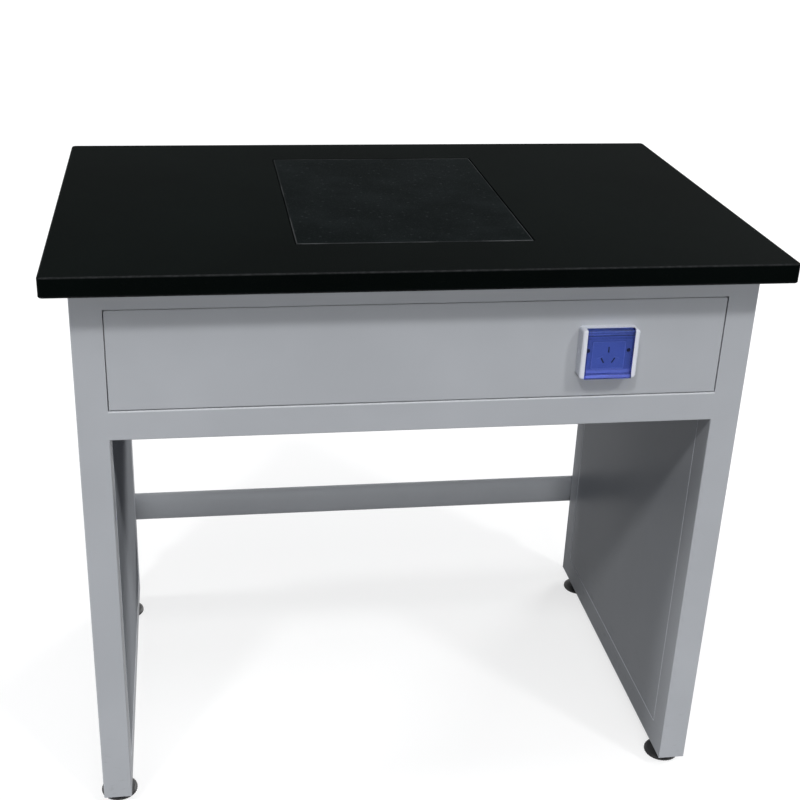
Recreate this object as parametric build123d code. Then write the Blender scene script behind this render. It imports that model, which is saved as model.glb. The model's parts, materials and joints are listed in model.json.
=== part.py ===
"""Weighing balance table: a steel frame, a worktop with a window, and a stone slab on rubber isolators.

Units are millimetres. The origin is on the floor under the middle of the worktop. +X points to the
user's right, +Y to the back and +Z up. Each sub-part is written to parts/NAME.step.
"""
from build123d import *
import os

# ---- overall sizes ----------------------------------------------------------------------------
TABLE_WIDTH = 900.0
TABLE_DEPTH = 600.0
TABLE_HEIGHT = 800.0
SIDE_OVERHANG = 29.0
FRONT_OVERHANG = 43.0
REAR_OVERHANG = 25.0
FOOT_HEIGHT = 20.0

# ---- worktop and balance slab -----------------------------------------------------------------
WORKTOP_THICKNESS = 25.0
WORKTOP_CORNER_R = 6.0
WORKTOP_EDGE_R = 2.5
WORKTOP_UNDER_CHAMFER = 1.0
SLAB_WIDTH = 296.0
SLAB_DEPTH = 402.0
SLAB_THICKNESS = 30.0
SLAB_SHIFT_X = -3.0
SLAB_SHIFT_Y = 7.0
SLAB_GAP = 1.5
SLAB_CORNER_R = 2.0
SLAB_ARRIS = 1.0

# ---- slab tray and isolators ------------------------------------------------------------------
SLAB_PAD_R = 20.0
SLAB_PAD_THICKNESS = 4.0
TRAY_SHEET = 3.0
TRAY_SIDE_GAP = 2.0
TRAY_RIM_HEIGHT = 6.0
ISOLATOR_R = 15.0
ISOLATOR_HEIGHT = 18.0
ISOLATOR_INSET_X = 38.0
ISOLATOR_INSET_Y = 51.0
ISOLATOR_SCREW_R = 3.0
ISOLATOR_SCREW_HEAD_R = 5.5
ISOLATOR_SCREW_HEAD_DEPTH = 2.4
ISOLATOR_THREAD_DEPTH = 6.0
BEAM_WIDTH = 40.0
BEAM_HEIGHT = 25.0
BEAM_WALL = 2.0
END_PLATE_WIDTH = 80.0
END_PLATE_SHEET = 3.0
BEAM_BOLT_R = 3.0
BEAM_BOLT_SPACING = 60.0
M6_HEX = 10.0
M6_NUT_HEIGHT = 5.0

# ---- steel frame ------------------------------------------------------------------------------
TUBE = 38.0
TUBE_WALL = 1.5
TUBE_EDGE_R = 1.5
TOP_RAIL_HEIGHT = 31.0
TOP_RAIL_DEPTH = 25.0
APRON_OPENING_HEIGHT = 131.0
LOWER_RAIL_HEIGHT = 39.0

# ---- sheet-metal skins and panels -------------------------------------------------------------
SHEET = 1.2
SHEET_BEND_R = 1.5
SKIN_FLANGE = 12.0
PANEL_GAP = 1.0
PANEL_CORNER_R = 3.0
PANEL_FLANGE = 18.0
PANEL_LIP = 15.0
BRACKET_SHEET = 2.0
BRACKET_WIDTH = 24.0
PANEL_BRACKET_INSET = 4.0
PANEL_BRACKET_LEG = 18.0
M4_R = 2.0
M4_HEAD_R = 3.5
M4_HEAD_HEIGHT = 2.6
PANEL_SCREW_LENGTH = 8.0

# ---- worktop fixings --------------------------------------------------------------------------
FIXING_LEG = 28.0
FIXING_WIDTH = 30.0
FIXING_SHEET = 3.0
FIXING_SIDE_SPACING = 110.0
FIXING_FRONT_SPACING = 500.0
FIXING_SCREW_OFFSET = 17.0
FIXING_SCREW_DEPTH = 14.0

# ---- crossbar ---------------------------------------------------------------------------------
CROSSBAR_HEIGHT = 50.0
CROSSBAR_DEPTH = 22.0
CROSSBAR_WALL = 1.5
CROSSBAR_AXIS_Z = 177.0
CROSSBAR_STANDOFF = 0.5
CROSSBAR_CAP = 3.0
CROSSBAR_CAP_PLUG = 12.0
CROSSBAR_CAP_CHAMFER = 1.0
SADDLE_HEIGHT = 38.0
SADDLE_WINDOW = 18.0
SADDLE_CLEARANCE = 0.1
M8_R = 4.0
M8_HEAD_R = 8.0
M8_HEAD_HEIGHT = 2.4
M8_GRIP_BEYOND_WALL = 12.0
RIVET_NUT_R = 6.0

# ---- levelling feet ---------------------------------------------------------------------------
FOOT_SETBACK = 40.0
FOOT_TRAVEL = 20.0
FOOT_PAD_R = 25.0
FOOT_PAD_HEIGHT = 9.0
FOOT_PAD_TAPER = 5.0
FOOT_BOSS_R = 10.0
FOOT_BOSS_HEIGHT = 4.0
FOOT_SOLE = 4.0
STEM_R = 5.0
STEM_ENGAGEMENT = 12.0
STEM_HEX = 17.0
STEM_HEX_CLEARANCE = 0.3
RUNNING_CLEARANCE = 0.05
BUSH_R = 8.0
BUSH_LENGTH = 18.0

# ---- mains socket -----------------------------------------------------------------------------
SOCKET_INSET = 152.5
SOCKET_RISE = 64.75
SOCKET_WIDTH = 72.5
SOCKET_HEIGHT = 64.5
SOCKET_DEPTH = 19.0
SOCKET_CORNER_R = 4.0
SOCKET_CHAMFER = 1.5
SOCKET_RIM = 6.0
SOCKET_BOTTOM_RIM = 4.5
SOCKET_LEDGE = 4.5
HINGE_BARREL_R = 5.0
HINGE_TOP_PROUD = 1.0
HINGE_PIN_R = 1.5
HINGE_PIN_SEAT = 4.5
LID_THICKNESS = 2.0
LID_SIDE_GAP = 0.3
LID_RIB = 1.4
LID_RIB_DEPTH = 1.2
LID_RIB_DROP = 1.5
LID_BOTTOM_GAP = 0.3
LID_GRIP_HEIGHT = 11.0
LID_GRIP_RISE = 1.6
LID_LIP_HEIGHT = 2.0
FACEPLATE_RECESS = 7.0
FACEPLATE_THICKNESS = 2.5
FACEPLATE_SCREW_SPACING = 52.0
MODULE_SCREW_GAP = 1.1
MODULE_HEIGHT = 38.0
MODULE_DROP = 2.75
MODULE_RAISE = 1.0
MODULE_FLANGE = 1.0
MODULE_DEPTH = 26.0
MODULE_SKIN = 2.5
EARTH_SLOT_RISE = 7.0
LINE_SLOT_DROP = 7.3
LINE_SLOT_OFFSET = 6.86
LINE_SLOT_TILT = 30.0
SLOT_WIDTH = 2.0
SLOT_LENGTH = 7.6
CONTACT_WIDTH = 4.6
CONTACT_LENGTH = 9.6
CONTACT_DEPTH = 15.0
BACK_BOX_WIDTH = 64.0
BACK_BOX_HEIGHT = 58.0
BACK_BOX_DEPTH = 38.0
BACK_BOX_WALL = 2.0
BACK_BOX_LUG = 8.0
BACK_BOX_LUG_R = 4.0
SOCKET_SCREW_R = 1.75
SOCKET_SCREW_HEAD_R = 2.75
SOCKET_SCREW_SINK = 1.0
SOCKET_SCREW_WELL_R = 2.9
SOCKET_SCREW_RISE = 5.5

# ---- supply lead and gland --------------------------------------------------------------------
GLAND_RISE = 47.0
GLAND_BORE_R = 4.2
GLAND_THREAD_R = 10.0
GLAND_HEX = 24.0
GLAND_HEX_LENGTH = 8.0
GLAND_DOME_R = 10.5
GLAND_DOME_LENGTH = 14.0
GLAND_NUT_LENGTH = 5.0
GLAND_THREAD_LENGTH = 9.0
JUNCTION_WIDTH = 70.0
JUNCTION_HEIGHT = 60.0
JUNCTION_DEPTH = 40.0
JUNCTION_WALL = 2.0
TERMINAL_SIZE = 10.0
TERMINAL_PITCH = 14.0
LEAD_R = 3.7
LEAD_BEND_R = 40.0
LEAD_RISE = 51.0
LEAD_WALL_GAP = 2.0
LEAD_SIDE_CLEARANCE = 0.05
CLIP_WIDTH = 10.0
CLIP_WALL = 1.6
CLIP_PITCH = 120.0

# ---- places worked out from the sizes above ---------------------------------------------------
FRONT_Y = -TABLE_DEPTH / 2 + FRONT_OVERHANG
REAR_Y = TABLE_DEPTH / 2 - REAR_OVERHANG
OUTER_X = TABLE_WIDTH / 2 - SIDE_OVERHANG
INNER_X = OUTER_X - TUBE
FRAME_TOP = TABLE_HEIGHT - WORKTOP_THICKNESS
APRON_TOP = FRAME_TOP - TOP_RAIL_HEIGHT
APRON_BOTTOM = APRON_TOP - APRON_OPENING_HEIGHT
KNEE_TOP = APRON_BOTTOM - LOWER_RAIL_HEIGHT
SLAB_BOTTOM = TABLE_HEIGHT - SLAB_THICKNESS
TRAY_TOP = SLAB_BOTTOM - SLAB_PAD_THICKNESS
TRAY_BOTTOM = TRAY_TOP - TRAY_SHEET
BEAM_TOP = TRAY_BOTTOM - ISOLATOR_HEIGHT
BEAM_BOTTOM = BEAM_TOP - BEAM_HEIGHT
ISOLATOR_REACH_X = SLAB_WIDTH / 2 - ISOLATOR_INSET_X
ISOLATOR_REACH_Y = SLAB_DEPTH / 2 - ISOLATOR_INSET_Y
ISOLATOR_X = (SLAB_SHIFT_X - ISOLATOR_REACH_X, SLAB_SHIFT_X + ISOLATOR_REACH_X)
BEAM_Y = (SLAB_SHIFT_Y - ISOLATOR_REACH_Y, SLAB_SHIFT_Y + ISOLATOR_REACH_Y)
SIDES = {"left": -1, "right": 1}
ENDS = {"front": -1, "rear": 1}
FOOT_X = OUTER_X - TUBE / 2
STEM_LENGTH = FOOT_HEIGHT - FOOT_SOLE + FOOT_TRAVEL + STEM_ENGAGEMENT
FOOT_Y = {"front": FRONT_Y + FOOT_SETBACK, "rear": REAR_Y - FOOT_SETBACK}
SOCKET_X = INNER_X - SOCKET_INSET
SOCKET_Z = APRON_BOTTOM + SOCKET_RISE
SOCKET_FRONT_Y = FRONT_Y - SOCKET_DEPTH
SOCKET_TOP = SOCKET_Z + SOCKET_HEIGHT / 2
SOCKET_BOTTOM = SOCKET_Z - SOCKET_HEIGHT / 2
HINGE_Y = SOCKET_FRONT_Y + HINGE_BARREL_R
HINGE_Z = SOCKET_TOP + HINGE_TOP_PROUD - HINGE_BARREL_R
FACEPLATE_Y = SOCKET_FRONT_Y + FACEPLATE_RECESS
MODULE_WIDTH = FACEPLATE_SCREW_SPACING - 2 * (SOCKET_SCREW_WELL_R + MODULE_SCREW_GAP)
MODULE_Z = SOCKET_Z - MODULE_DROP
SOCKET_SCREW_Z = MODULE_Z + SOCKET_SCREW_RISE
GLAND_Z = APRON_BOTTOM + GLAND_RISE
LEAD_Z = APRON_BOTTOM + LEAD_RISE
CROSSBAR_Y = REAR_Y + CROSSBAR_STANDOFF + CROSSBAR_DEPTH / 2
LEAD_X = INNER_X - LEAD_WALL_GAP - LEAD_R
CUT_EXTRA = 1.0
RIGHT, LEFT = (1, 0, 0), (-1, 0, 0)
BACK, FORWARD = (0, 1, 0), (0, -1, 0)
UP, DOWN = (0, 0, 1), (0, 0, -1)


# ---- building blocks --------------------------------------------------------------------------
def block(x_span, y_span, z_span):
    """Return a box between two values on each axis, given in either order."""
    spans = [sorted(span) for span in (x_span, y_span, z_span)]
    sizes = [high - low for low, high in spans]
    centre = [(high + low) / 2 for low, high in spans]
    return Pos(*centre) * Box(*sizes)


def rod(radius, start, direction, length):
    """Return a cylinder that begins at start and runs along direction."""
    place = Plane(origin=start, z_dir=direction)
    return place * Cylinder(radius, length, align=(Align.CENTER, Align.CENTER, Align.MIN))


def hex_rod(across_flats, start, direction, length):
    """Return a hexagonal bar that begins at start and runs along direction."""
    place = Plane(origin=start, z_dir=direction)
    outline = RegularPolygon(across_flats / 2, 6, major_radius=False)
    return place * extrude(outline, length)


def prism_x(points_yz, x_span):
    """Return a prism along X with the given outline in the YZ plane."""
    low, high = sorted(x_span)
    outline = make_face(Plane.YZ * Polyline(*points_yz, close=True))
    return Pos(low, 0, 0) * extrude(outline, high - low, dir=RIGHT)


def group(solids):
    """Return several separate solids as one node."""
    return Compound(children=[solid for shape in solids for solid in shape.solids()])


def mirrored(shape, side):
    """Return a right-hand shape on the side asked for, -1 for left and 1 for right."""
    return shape if side > 0 else mirror(shape, about=Plane.YZ)


def edge_cutter(corner, inward, z_span, radius):
    """Return the sliver that rounds a vertical edge; inward holds the signs towards the material."""
    x, y = corner
    x_in = x + inward[0] * radius
    y_in = y + inward[1] * radius
    x_out = x - inward[0] * CUT_EXTRA
    y_out = y - inward[1] * CUT_EXTRA
    height = abs(z_span[1] - z_span[0])
    corner_block = block((x_out, x_in), (y_out, y_in), z_span)
    return corner_block - rod(radius, (x_in, y_in, min(z_span)), UP, height)


# ---- worktop and slab -------------------------------------------------------------------------
def slab_outline(grow):
    """Return the slab's rounded outline, larger by grow on every side."""
    outline = RectangleRounded(SLAB_WIDTH + 2 * grow, SLAB_DEPTH + 2 * grow, SLAB_CORNER_R + grow)
    return Pos(SLAB_SHIFT_X, SLAB_SHIFT_Y) * outline


def fixing_places():
    """Return each worktop fixing as a corner on the frame and a direction towards the middle."""
    places = []
    for offset in (-FIXING_SIDE_SPACING / 2, FIXING_SIDE_SPACING / 2):
        places.append(((-INNER_X, SLAB_SHIFT_Y + offset), (1, 0)))
        places.append(((INNER_X, SLAB_SHIFT_Y + offset), (-1, 0)))
    for offset in (-FIXING_FRONT_SPACING / 2, FIXING_FRONT_SPACING / 2):
        places.append(((offset, FRONT_Y + TOP_RAIL_DEPTH), (0, 1)))
        places.append(((offset, REAR_Y - TOP_RAIL_DEPTH), (0, -1)))
    return places


def fixing_screw(place, bottom, height, radius):
    """Return an upright cylinder at a fixing's screw position."""
    (x, y), (dx, dy) = place
    start = (x + dx * FIXING_SCREW_OFFSET, y + dy * FIXING_SCREW_OFFSET, bottom)
    return rod(radius, start, UP, height)


def make_worktop():
    outline = RectangleRounded(TABLE_WIDTH, TABLE_DEPTH, WORKTOP_CORNER_R)
    board = Pos(0, 0, FRAME_TOP) * extrude(outline, WORKTOP_THICKNESS)
    board = fillet(board.faces().sort_by(Axis.Z)[-1].edges(), WORKTOP_EDGE_R)
    board = chamfer(board.faces().sort_by(Axis.Z)[0].edges(), WORKTOP_UNDER_CHAMFER)
    window = Pos(0, 0, FRAME_TOP) * extrude(slab_outline(SLAB_GAP), WORKTOP_THICKNESS)
    board -= window
    for place in fixing_places():
        board -= fixing_screw(place, FRAME_TOP, FIXING_SCREW_DEPTH, M4_R)
    return board


def make_balance_slab():
    slab = Pos(0, 0, SLAB_BOTTOM) * extrude(slab_outline(0), SLAB_THICKNESS)
    return chamfer(slab.faces().sort_by(Axis.Z)[-1].edges(), SLAB_ARRIS)


def isolator_points(height):
    return [(x, y, height) for x in ISOLATOR_X for y in BEAM_Y]


def make_slab_pads():
    return group(rod(SLAB_PAD_R, point, UP, SLAB_PAD_THICKNESS) for point in isolator_points(TRAY_TOP))


def isolator_screw(point):
    """Return a countersunk screw, flush with the tray, that goes down into its rubber."""
    head = Pos(point[0], point[1], TRAY_TOP - ISOLATOR_SCREW_HEAD_DEPTH / 2) * Cone(
        ISOLATOR_SCREW_R, ISOLATOR_SCREW_HEAD_R, ISOLATOR_SCREW_HEAD_DEPTH)
    shank = rod(ISOLATOR_SCREW_R, point, DOWN, TRAY_SHEET + ISOLATOR_THREAD_DEPTH)
    return head + shank


def make_isolator_screws():
    return group(isolator_screw(point) for point in isolator_points(TRAY_TOP))


def make_slab_tray():
    inside_x = SLAB_WIDTH + 2 * TRAY_SIDE_GAP
    inside_y = SLAB_DEPTH + 2 * TRAY_SIDE_GAP
    outer = Box(inside_x + 2 * TRAY_SHEET, inside_y + 2 * TRAY_SHEET, TRAY_SHEET + TRAY_RIM_HEIGHT,
                align=(Align.CENTER, Align.CENTER, Align.MIN))
    inner = Pos(0, 0, TRAY_SHEET) * Box(inside_x, inside_y, TRAY_RIM_HEIGHT,
                                        align=(Align.CENTER, Align.CENTER, Align.MIN))
    tray = Pos(SLAB_SHIFT_X, SLAB_SHIFT_Y, TRAY_BOTTOM) * (outer - inner)
    for point in isolator_points(TRAY_TOP):
        tray -= isolator_screw(point)
    return tray


def make_isolator_rubbers():
    rubbers = []
    for point in isolator_points(BEAM_TOP):
        rubber = rod(ISOLATOR_R, point, UP, ISOLATOR_HEIGHT)
        top = (point[0], point[1], TRAY_BOTTOM)
        rubber -= rod(ISOLATOR_SCREW_R, top, DOWN, ISOLATOR_THREAD_DEPTH)
        rubber -= rod(ISOLATOR_SCREW_R, point, UP, ISOLATOR_THREAD_DEPTH)
        rubbers.append(rubber)
    return group(rubbers)


def isolator_stud(point, clearance):
    """Return the stud that passes down through a beam from inside its rubber."""
    length = ISOLATOR_THREAD_DEPTH + BEAM_HEIGHT + M6_NUT_HEIGHT + clearance
    start = (point[0], point[1], BEAM_TOP + ISOLATOR_THREAD_DEPTH)
    return rod(ISOLATOR_SCREW_R, start, DOWN, length)


def make_isolator_studs():
    return group(isolator_stud(point, CUT_EXTRA) for point in isolator_points(BEAM_TOP))


def make_isolator_nuts():
    nuts = []
    for point in isolator_points(BEAM_BOTTOM):
        nuts.append(hex_rod(M6_HEX, point, DOWN, M6_NUT_HEIGHT) - isolator_stud(point, CUT_EXTRA))
    return group(nuts)


def make_isolator_beam(y):
    length = 2 * (INNER_X - END_PLATE_SHEET)
    section = Rectangle(BEAM_WIDTH, BEAM_HEIGHT)
    section -= Rectangle(BEAM_WIDTH - 2 * BEAM_WALL, BEAM_HEIGHT - 2 * BEAM_WALL)
    place = Plane(origin=(-length / 2, y, (BEAM_TOP + BEAM_BOTTOM) / 2), x_dir=BACK, z_dir=RIGHT)
    beam = place * extrude(section, length)
    for point in isolator_points(BEAM_TOP):
        if point[1] == y:
            beam -= isolator_stud(point, CUT_EXTRA)
    return beam


def beam_bolt_points():
    """Return the points where the end plates are bolted to the side rails."""
    height = FRAME_TOP - TUBE / 2
    points = []
    for y in BEAM_Y:
        for offset in (-BEAM_BOLT_SPACING / 2, BEAM_BOLT_SPACING / 2):
            points.append((INNER_X, y + offset, height))
    return points


def beam_bolt(point, side):
    """Return one bolt, its head on the end plate and its shank through the rail's inner wall."""
    face = point[0] - END_PLATE_SHEET
    head = hex_rod(M6_HEX, (face, point[1], point[2]), LEFT, M6_NUT_HEIGHT)
    grip = END_PLATE_SHEET + TUBE_WALL + M6_NUT_HEIGHT
    shank = rod(BEAM_BOLT_R, (face, point[1], point[2]), RIGHT, grip)
    return mirrored(head + shank, side)


def make_beam_bolts():
    return group(beam_bolt(point, side) for side in SIDES.values() for point in beam_bolt_points())


def make_beam_end_plates():
    plates = []
    for side in SIDES.values():
        for y in BEAM_Y:
            x_span = (side * INNER_X, side * (INNER_X - END_PLATE_SHEET))
            y_span = (y - END_PLATE_WIDTH / 2, y + END_PLATE_WIDTH / 2)
            plate = block(x_span, y_span, (BEAM_BOTTOM, FRAME_TOP))
            for point in beam_bolt_points():
                plate -= beam_bolt(point, side)
            plates.append(plate)
    return group(plates)


# ---- steel frame ------------------------------------------------------------------------------
def tube_section(width, height, wall, round_corner):
    """Return a hollow rectangle; round_corner holds the signs of the one corner that is rounded."""
    outline = Rectangle(width, height)
    if round_corner is not None:
        corner = outline.vertices().sort_by(lambda v: -(v.X * round_corner[0] + v.Y * round_corner[1]))[0]
        outline = fillet(corner, TUBE_EDGE_R)
    return outline - Rectangle(width - 2 * wall, height - 2 * wall)


def mitre_cut(end, at_top, keeps_post):
    """Return the wedge that mitres a side frame's corner, for the post or for the rail."""
    y_corner = FRONT_Y if end < 0 else REAR_Y
    z_corner = FRAME_TOP if at_top else FOOT_HEIGHT
    up = -1 if at_top else 1
    far = TUBE + CUT_EXTRA
    outside = (y_corner + end * CUT_EXTRA, z_corner - up * CUT_EXTRA)
    inside = (y_corner - end * far, z_corner + up * far)
    third = (inside[0], outside[1]) if keeps_post else (outside[0], inside[1])
    return prism_x([outside, inside, third], (INNER_X - CUT_EXTRA, OUTER_X + CUT_EXTRA))


def make_post(side, end):
    """Return one upright, with mitred ends and its exposed edges rounded."""
    y_face = FRONT_Y if end < 0 else REAR_Y
    y_mid = y_face - end * TUBE / 2
    section = Pos(INNER_X + TUBE / 2, y_mid) * tube_section(TUBE, TUBE, TUBE_WALL, (1, end))
    post = Pos(0, 0, FOOT_HEIGHT) * extrude(section, FRAME_TOP - FOOT_HEIGHT)
    post -= mitre_cut(end, True, True) + mitre_cut(end, False, True)
    post -= edge_cutter((INNER_X, y_face), (1, -end), (FOOT_HEIGHT - CUT_EXTRA, KNEE_TOP), TUBE_EDGE_R)
    if end > 0:
        post -= crossbar_bolt_hole()
    return mirrored(post, side)


def make_side_rail(side, at_top):
    """Return a side frame's top or bottom rail, mitred into both posts."""
    z_mid = FRAME_TOP - TUBE / 2 if at_top else FOOT_HEIGHT + TUBE / 2
    place = Plane(origin=(INNER_X + TUBE / 2, FRONT_Y, z_mid), x_dir=LEFT, z_dir=BACK)
    rail = place * extrude(tube_section(TUBE, TUBE, TUBE_WALL, None), REAR_Y - FRONT_Y)
    for end in ENDS.values():
        rail -= mitre_cut(end, at_top, False)
        if not at_top:
            rail -= foot_bush_blank(end)
    if at_top:
        for point in beam_bolt_points():
            rail -= beam_bolt(point, 1)
    return mirrored(rail, side)


def make_cross_rail(end, z_span, depth, round_edge):
    """Return a rail between the left and right posts, along the front or the rear."""
    height = z_span[1] - z_span[0]
    y_face = FRONT_Y if end < 0 else REAR_Y
    start = (-INNER_X, y_face - end * depth / 2, sum(z_span) / 2)
    place = Plane(origin=start, x_dir=BACK, z_dir=RIGHT)
    section = tube_section(depth, height, TUBE_WALL, (end, -1) if round_edge else None)
    return place * extrude(section, 2 * INNER_X)


def folded_pan(width, height, flange, corner_r):
    """Return an open tray of bent sheet, its face down on z = 0 and its flanges pointing up."""
    outline = Rectangle(width, height)
    inner = Rectangle(width - 2 * SHEET, height - 2 * SHEET)
    if corner_r > 0:
        outline = fillet(outline.vertices().group_by(Axis.Y)[-1], corner_r)
        inner = fillet(inner.vertices().group_by(Axis.Y)[-1], corner_r - SHEET)
    shell = extrude(outline, flange)
    shell = fillet(shell.faces().sort_by(Axis.Z)[0].edges(), SHEET_BEND_R)
    return shell - Pos(0, 0, SHEET) * extrude(inner, flange)


def make_side_skin(side, outward):
    """Return a flush sheet skin that fills a side frame's opening."""
    y_mid = (FRONT_Y + REAR_Y) / 2
    z_low = FOOT_HEIGHT + TUBE
    z_high = FRAME_TOP - TUBE
    width = REAR_Y - FRONT_Y - 2 * TUBE
    x_face = OUTER_X if outward else INNER_X
    inward = -1 if outward else 1
    middle = (x_face, y_mid, (z_low + z_high) / 2)
    place = Plane(origin=middle, x_dir=(0, -inward, 0), z_dir=(inward, 0, 0))
    return mirrored(place * folded_pan(width, z_high - z_low, SKIN_FLANGE, 0), side)


# ---- apron panels -----------------------------------------------------------------------------
def panel_screw_points():
    """Return the right-hand points where the front panel's lips are screwed to its brackets."""
    lip_middle = INNER_X - PANEL_GAP - SHEET - PANEL_LIP / 2
    inset = PANEL_BRACKET_INSET + BRACKET_WIDTH / 2
    y_back = FRONT_Y + PANEL_FLANGE + BRACKET_SHEET
    return [(lip_middle, y_back, APRON_BOTTOM + inset), (lip_middle, y_back, APRON_TOP - inset)]


def panel_screw(point, side):
    """Return a screw whose head lies behind the bracket and whose shank passes the lip."""
    head = rod(M4_HEAD_R, point, BACK, M4_HEAD_HEIGHT)
    shank = rod(M4_R, point, FORWARD, PANEL_SCREW_LENGTH)
    return mirrored(head + shank, side)


def make_panel_screws():
    return group(panel_screw(point, side) for side in SIDES.values() for point in panel_screw_points())


def make_panel_brackets():
    brackets = []
    for side in SIDES.values():
        for point in panel_screw_points():
            z_span = (point[2] - BRACKET_WIDTH / 2, point[2] + BRACKET_WIDTH / 2)
            y_lip = FRONT_Y + PANEL_FLANGE
            x_far = INNER_X - PANEL_GAP - SHEET - PANEL_LIP
            across = block((x_far, INNER_X), (y_lip, y_lip + BRACKET_SHEET), z_span)
            along = block((INNER_X - BRACKET_SHEET, INNER_X), (y_lip, y_lip + PANEL_BRACKET_LEG), z_span)
            brackets.append(mirrored(across + along - panel_screw(point, 1), side))
    return group(brackets)


def panel_blank(end, gap, corner_r):
    """Return the apron pan that closes the front or the rear opening."""
    y_face = FRONT_Y if end < 0 else REAR_Y
    width = 2 * (INNER_X - gap)
    height = APRON_OPENING_HEIGHT - 2 * gap
    middle = (0, y_face, (APRON_TOP + APRON_BOTTOM) / 2)
    place = Plane(origin=middle, x_dir=(end, 0, 0), z_dir=(0, -end, 0))
    return place * folded_pan(width, height, PANEL_FLANGE, corner_r)


def make_front_panel():
    panel = panel_blank(-1, PANEL_GAP, PANEL_CORNER_R)
    z_span = (APRON_BOTTOM + PANEL_GAP + SHEET, APRON_TOP - PANEL_GAP - PANEL_CORNER_R)
    y_lip = FRONT_Y + PANEL_FLANGE
    for side in SIDES.values():
        x_edge = INNER_X - PANEL_GAP - SHEET / 2
        lip = block((x_edge, x_edge - PANEL_LIP - SHEET / 2), (y_lip - SHEET, y_lip), z_span)
        for point in panel_screw_points():
            lip -= panel_screw(point, 1)
        panel += mirrored(lip, side)
    panel -= module_body(CUT_EXTRA)
    for screw in socket_screw_list():
        panel -= screw
    return panel


def make_rear_panel():
    panel = panel_blank(1, 0, 0)
    start = (SOCKET_X, REAR_Y + CUT_EXTRA, GLAND_Z)
    return panel - rod(GLAND_THREAD_R, start, FORWARD, SHEET + 2 * CUT_EXTRA)


# ---- worktop fixings --------------------------------------------------------------------------
def worktop_screw(place):
    """Return a screw that comes up through a bracket into the worktop."""
    head_z = FRAME_TOP - FIXING_SHEET - M4_HEAD_HEIGHT
    head = fixing_screw(place, head_z, M4_HEAD_HEIGHT, M4_HEAD_R)
    return head + fixing_screw(place, head_z, M4_HEAD_HEIGHT + FIXING_SHEET + FIXING_SCREW_DEPTH, M4_R)


def make_worktop_screws():
    return group(worktop_screw(place) for place in fixing_places())


def make_worktop_brackets():
    brackets = []
    for place in fixing_places():
        (x, y), (dx, dy) = place
        half = FIXING_WIDTH / 2
        x_side = (x - abs(dy) * half, x + abs(dy) * half)
        y_side = (y - abs(dx) * half, y + abs(dx) * half)
        flat_x = (x, x + dx * FIXING_LEG) if dx else x_side
        flat_y = (y, y + dy * FIXING_LEG) if dy else y_side
        wall_x = (x, x + dx * FIXING_SHEET) if dx else x_side
        wall_y = (y, y + dy * FIXING_SHEET) if dy else y_side
        flat = block(flat_x, flat_y, (FRAME_TOP - FIXING_SHEET, FRAME_TOP))
        wall = block(wall_x, wall_y, (FRAME_TOP - FIXING_LEG, FRAME_TOP))
        brackets.append(flat + wall - worktop_screw(place))
    return group(brackets)


# ---- crossbar ---------------------------------------------------------------------------------
def oval(grow):
    """Return the crossbar's oval section, larger by grow all round."""
    return Ellipse(CROSSBAR_DEPTH / 2 + grow, CROSSBAR_HEIGHT / 2 + grow)


def oval_bar(x_start, length, grow):
    place = Plane(origin=(x_start, CROSSBAR_Y, CROSSBAR_AXIS_Z), x_dir=BACK, z_dir=RIGHT)
    return place * extrude(oval(grow), length)


def crossbar_bolt_hole():
    """Return the hole for the rivet nut in a right-hand rear post."""
    start = (FOOT_X, REAR_Y + CUT_EXTRA, CROSSBAR_AXIS_Z)
    return rod(RIVET_NUT_R, start, FORWARD, TUBE_WALL + 2 * CUT_EXTRA)


def crossbar_bolt(side):
    """Return one flat-headed bolt through the bar into its post."""
    seat = CROSSBAR_Y + CROSSBAR_DEPTH / 2
    head = rod(M8_HEAD_R, (FOOT_X, seat, CROSSBAR_AXIS_Z), BACK, M8_HEAD_HEIGHT)
    length = seat - REAR_Y + TUBE_WALL + M8_GRIP_BEYOND_WALL
    return mirrored(head + rod(M8_R, (FOOT_X, seat, CROSSBAR_AXIS_Z), FORWARD, length), side)


def make_crossbar():
    half = OUTER_X - CROSSBAR_CAP
    bar = oval_bar(-half, 2 * half, 0) - oval_bar(-half, 2 * half, -CROSSBAR_WALL)
    for side in SIDES.values():
        bar -= crossbar_bolt(side)
    return bar


def make_crossbar_caps():
    caps = []
    for side in SIDES.values():
        cap = oval_bar(OUTER_X - CROSSBAR_CAP, CROSSBAR_CAP, 0)
        cap += oval_bar(OUTER_X - CROSSBAR_CAP - CROSSBAR_CAP_PLUG, CROSSBAR_CAP_PLUG, -CROSSBAR_WALL)
        cap -= oval_bar(OUTER_X - CROSSBAR_CAP - CROSSBAR_CAP_PLUG, CROSSBAR_CAP_PLUG, -2 * CROSSBAR_WALL)
        outer_edge = cap.edges().group_by(Axis.X)[-1]
        caps.append(mirrored(chamfer(outer_edge, CROSSBAR_CAP_CHAMFER) - crossbar_bolt(1), side))
    return group(caps)


def make_crossbar_saddles():
    """Return the wedges that fill the space between post and bar, above and below each bolt."""
    saddles = []
    for side in SIDES.values():
        for up in (-1, 1):
            z_span = (CROSSBAR_AXIS_Z + up * SADDLE_WINDOW / 2, CROSSBAR_AXIS_Z + up * SADDLE_HEIGHT / 2)
            wedge = block((INNER_X + TUBE_EDGE_R, OUTER_X - TUBE_EDGE_R), (REAR_Y, CROSSBAR_Y), z_span)
            wedge -= oval_bar(INNER_X, TUBE, SADDLE_CLEARANCE)
            saddles.append(mirrored(wedge, side))
    return group(saddles)


def make_crossbar_bolts():
    return group(crossbar_bolt(side) for side in SIDES.values())


def make_crossbar_nuts():
    nuts = []
    for side in SIDES.values():
        start = (FOOT_X, REAR_Y, CROSSBAR_AXIS_Z)
        nut = rod(RIVET_NUT_R, start, FORWARD, TUBE_WALL + M8_GRIP_BEYOND_WALL)
        nuts.append(mirrored(nut, side) - crossbar_bolt(side))
    return group(nuts)


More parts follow.
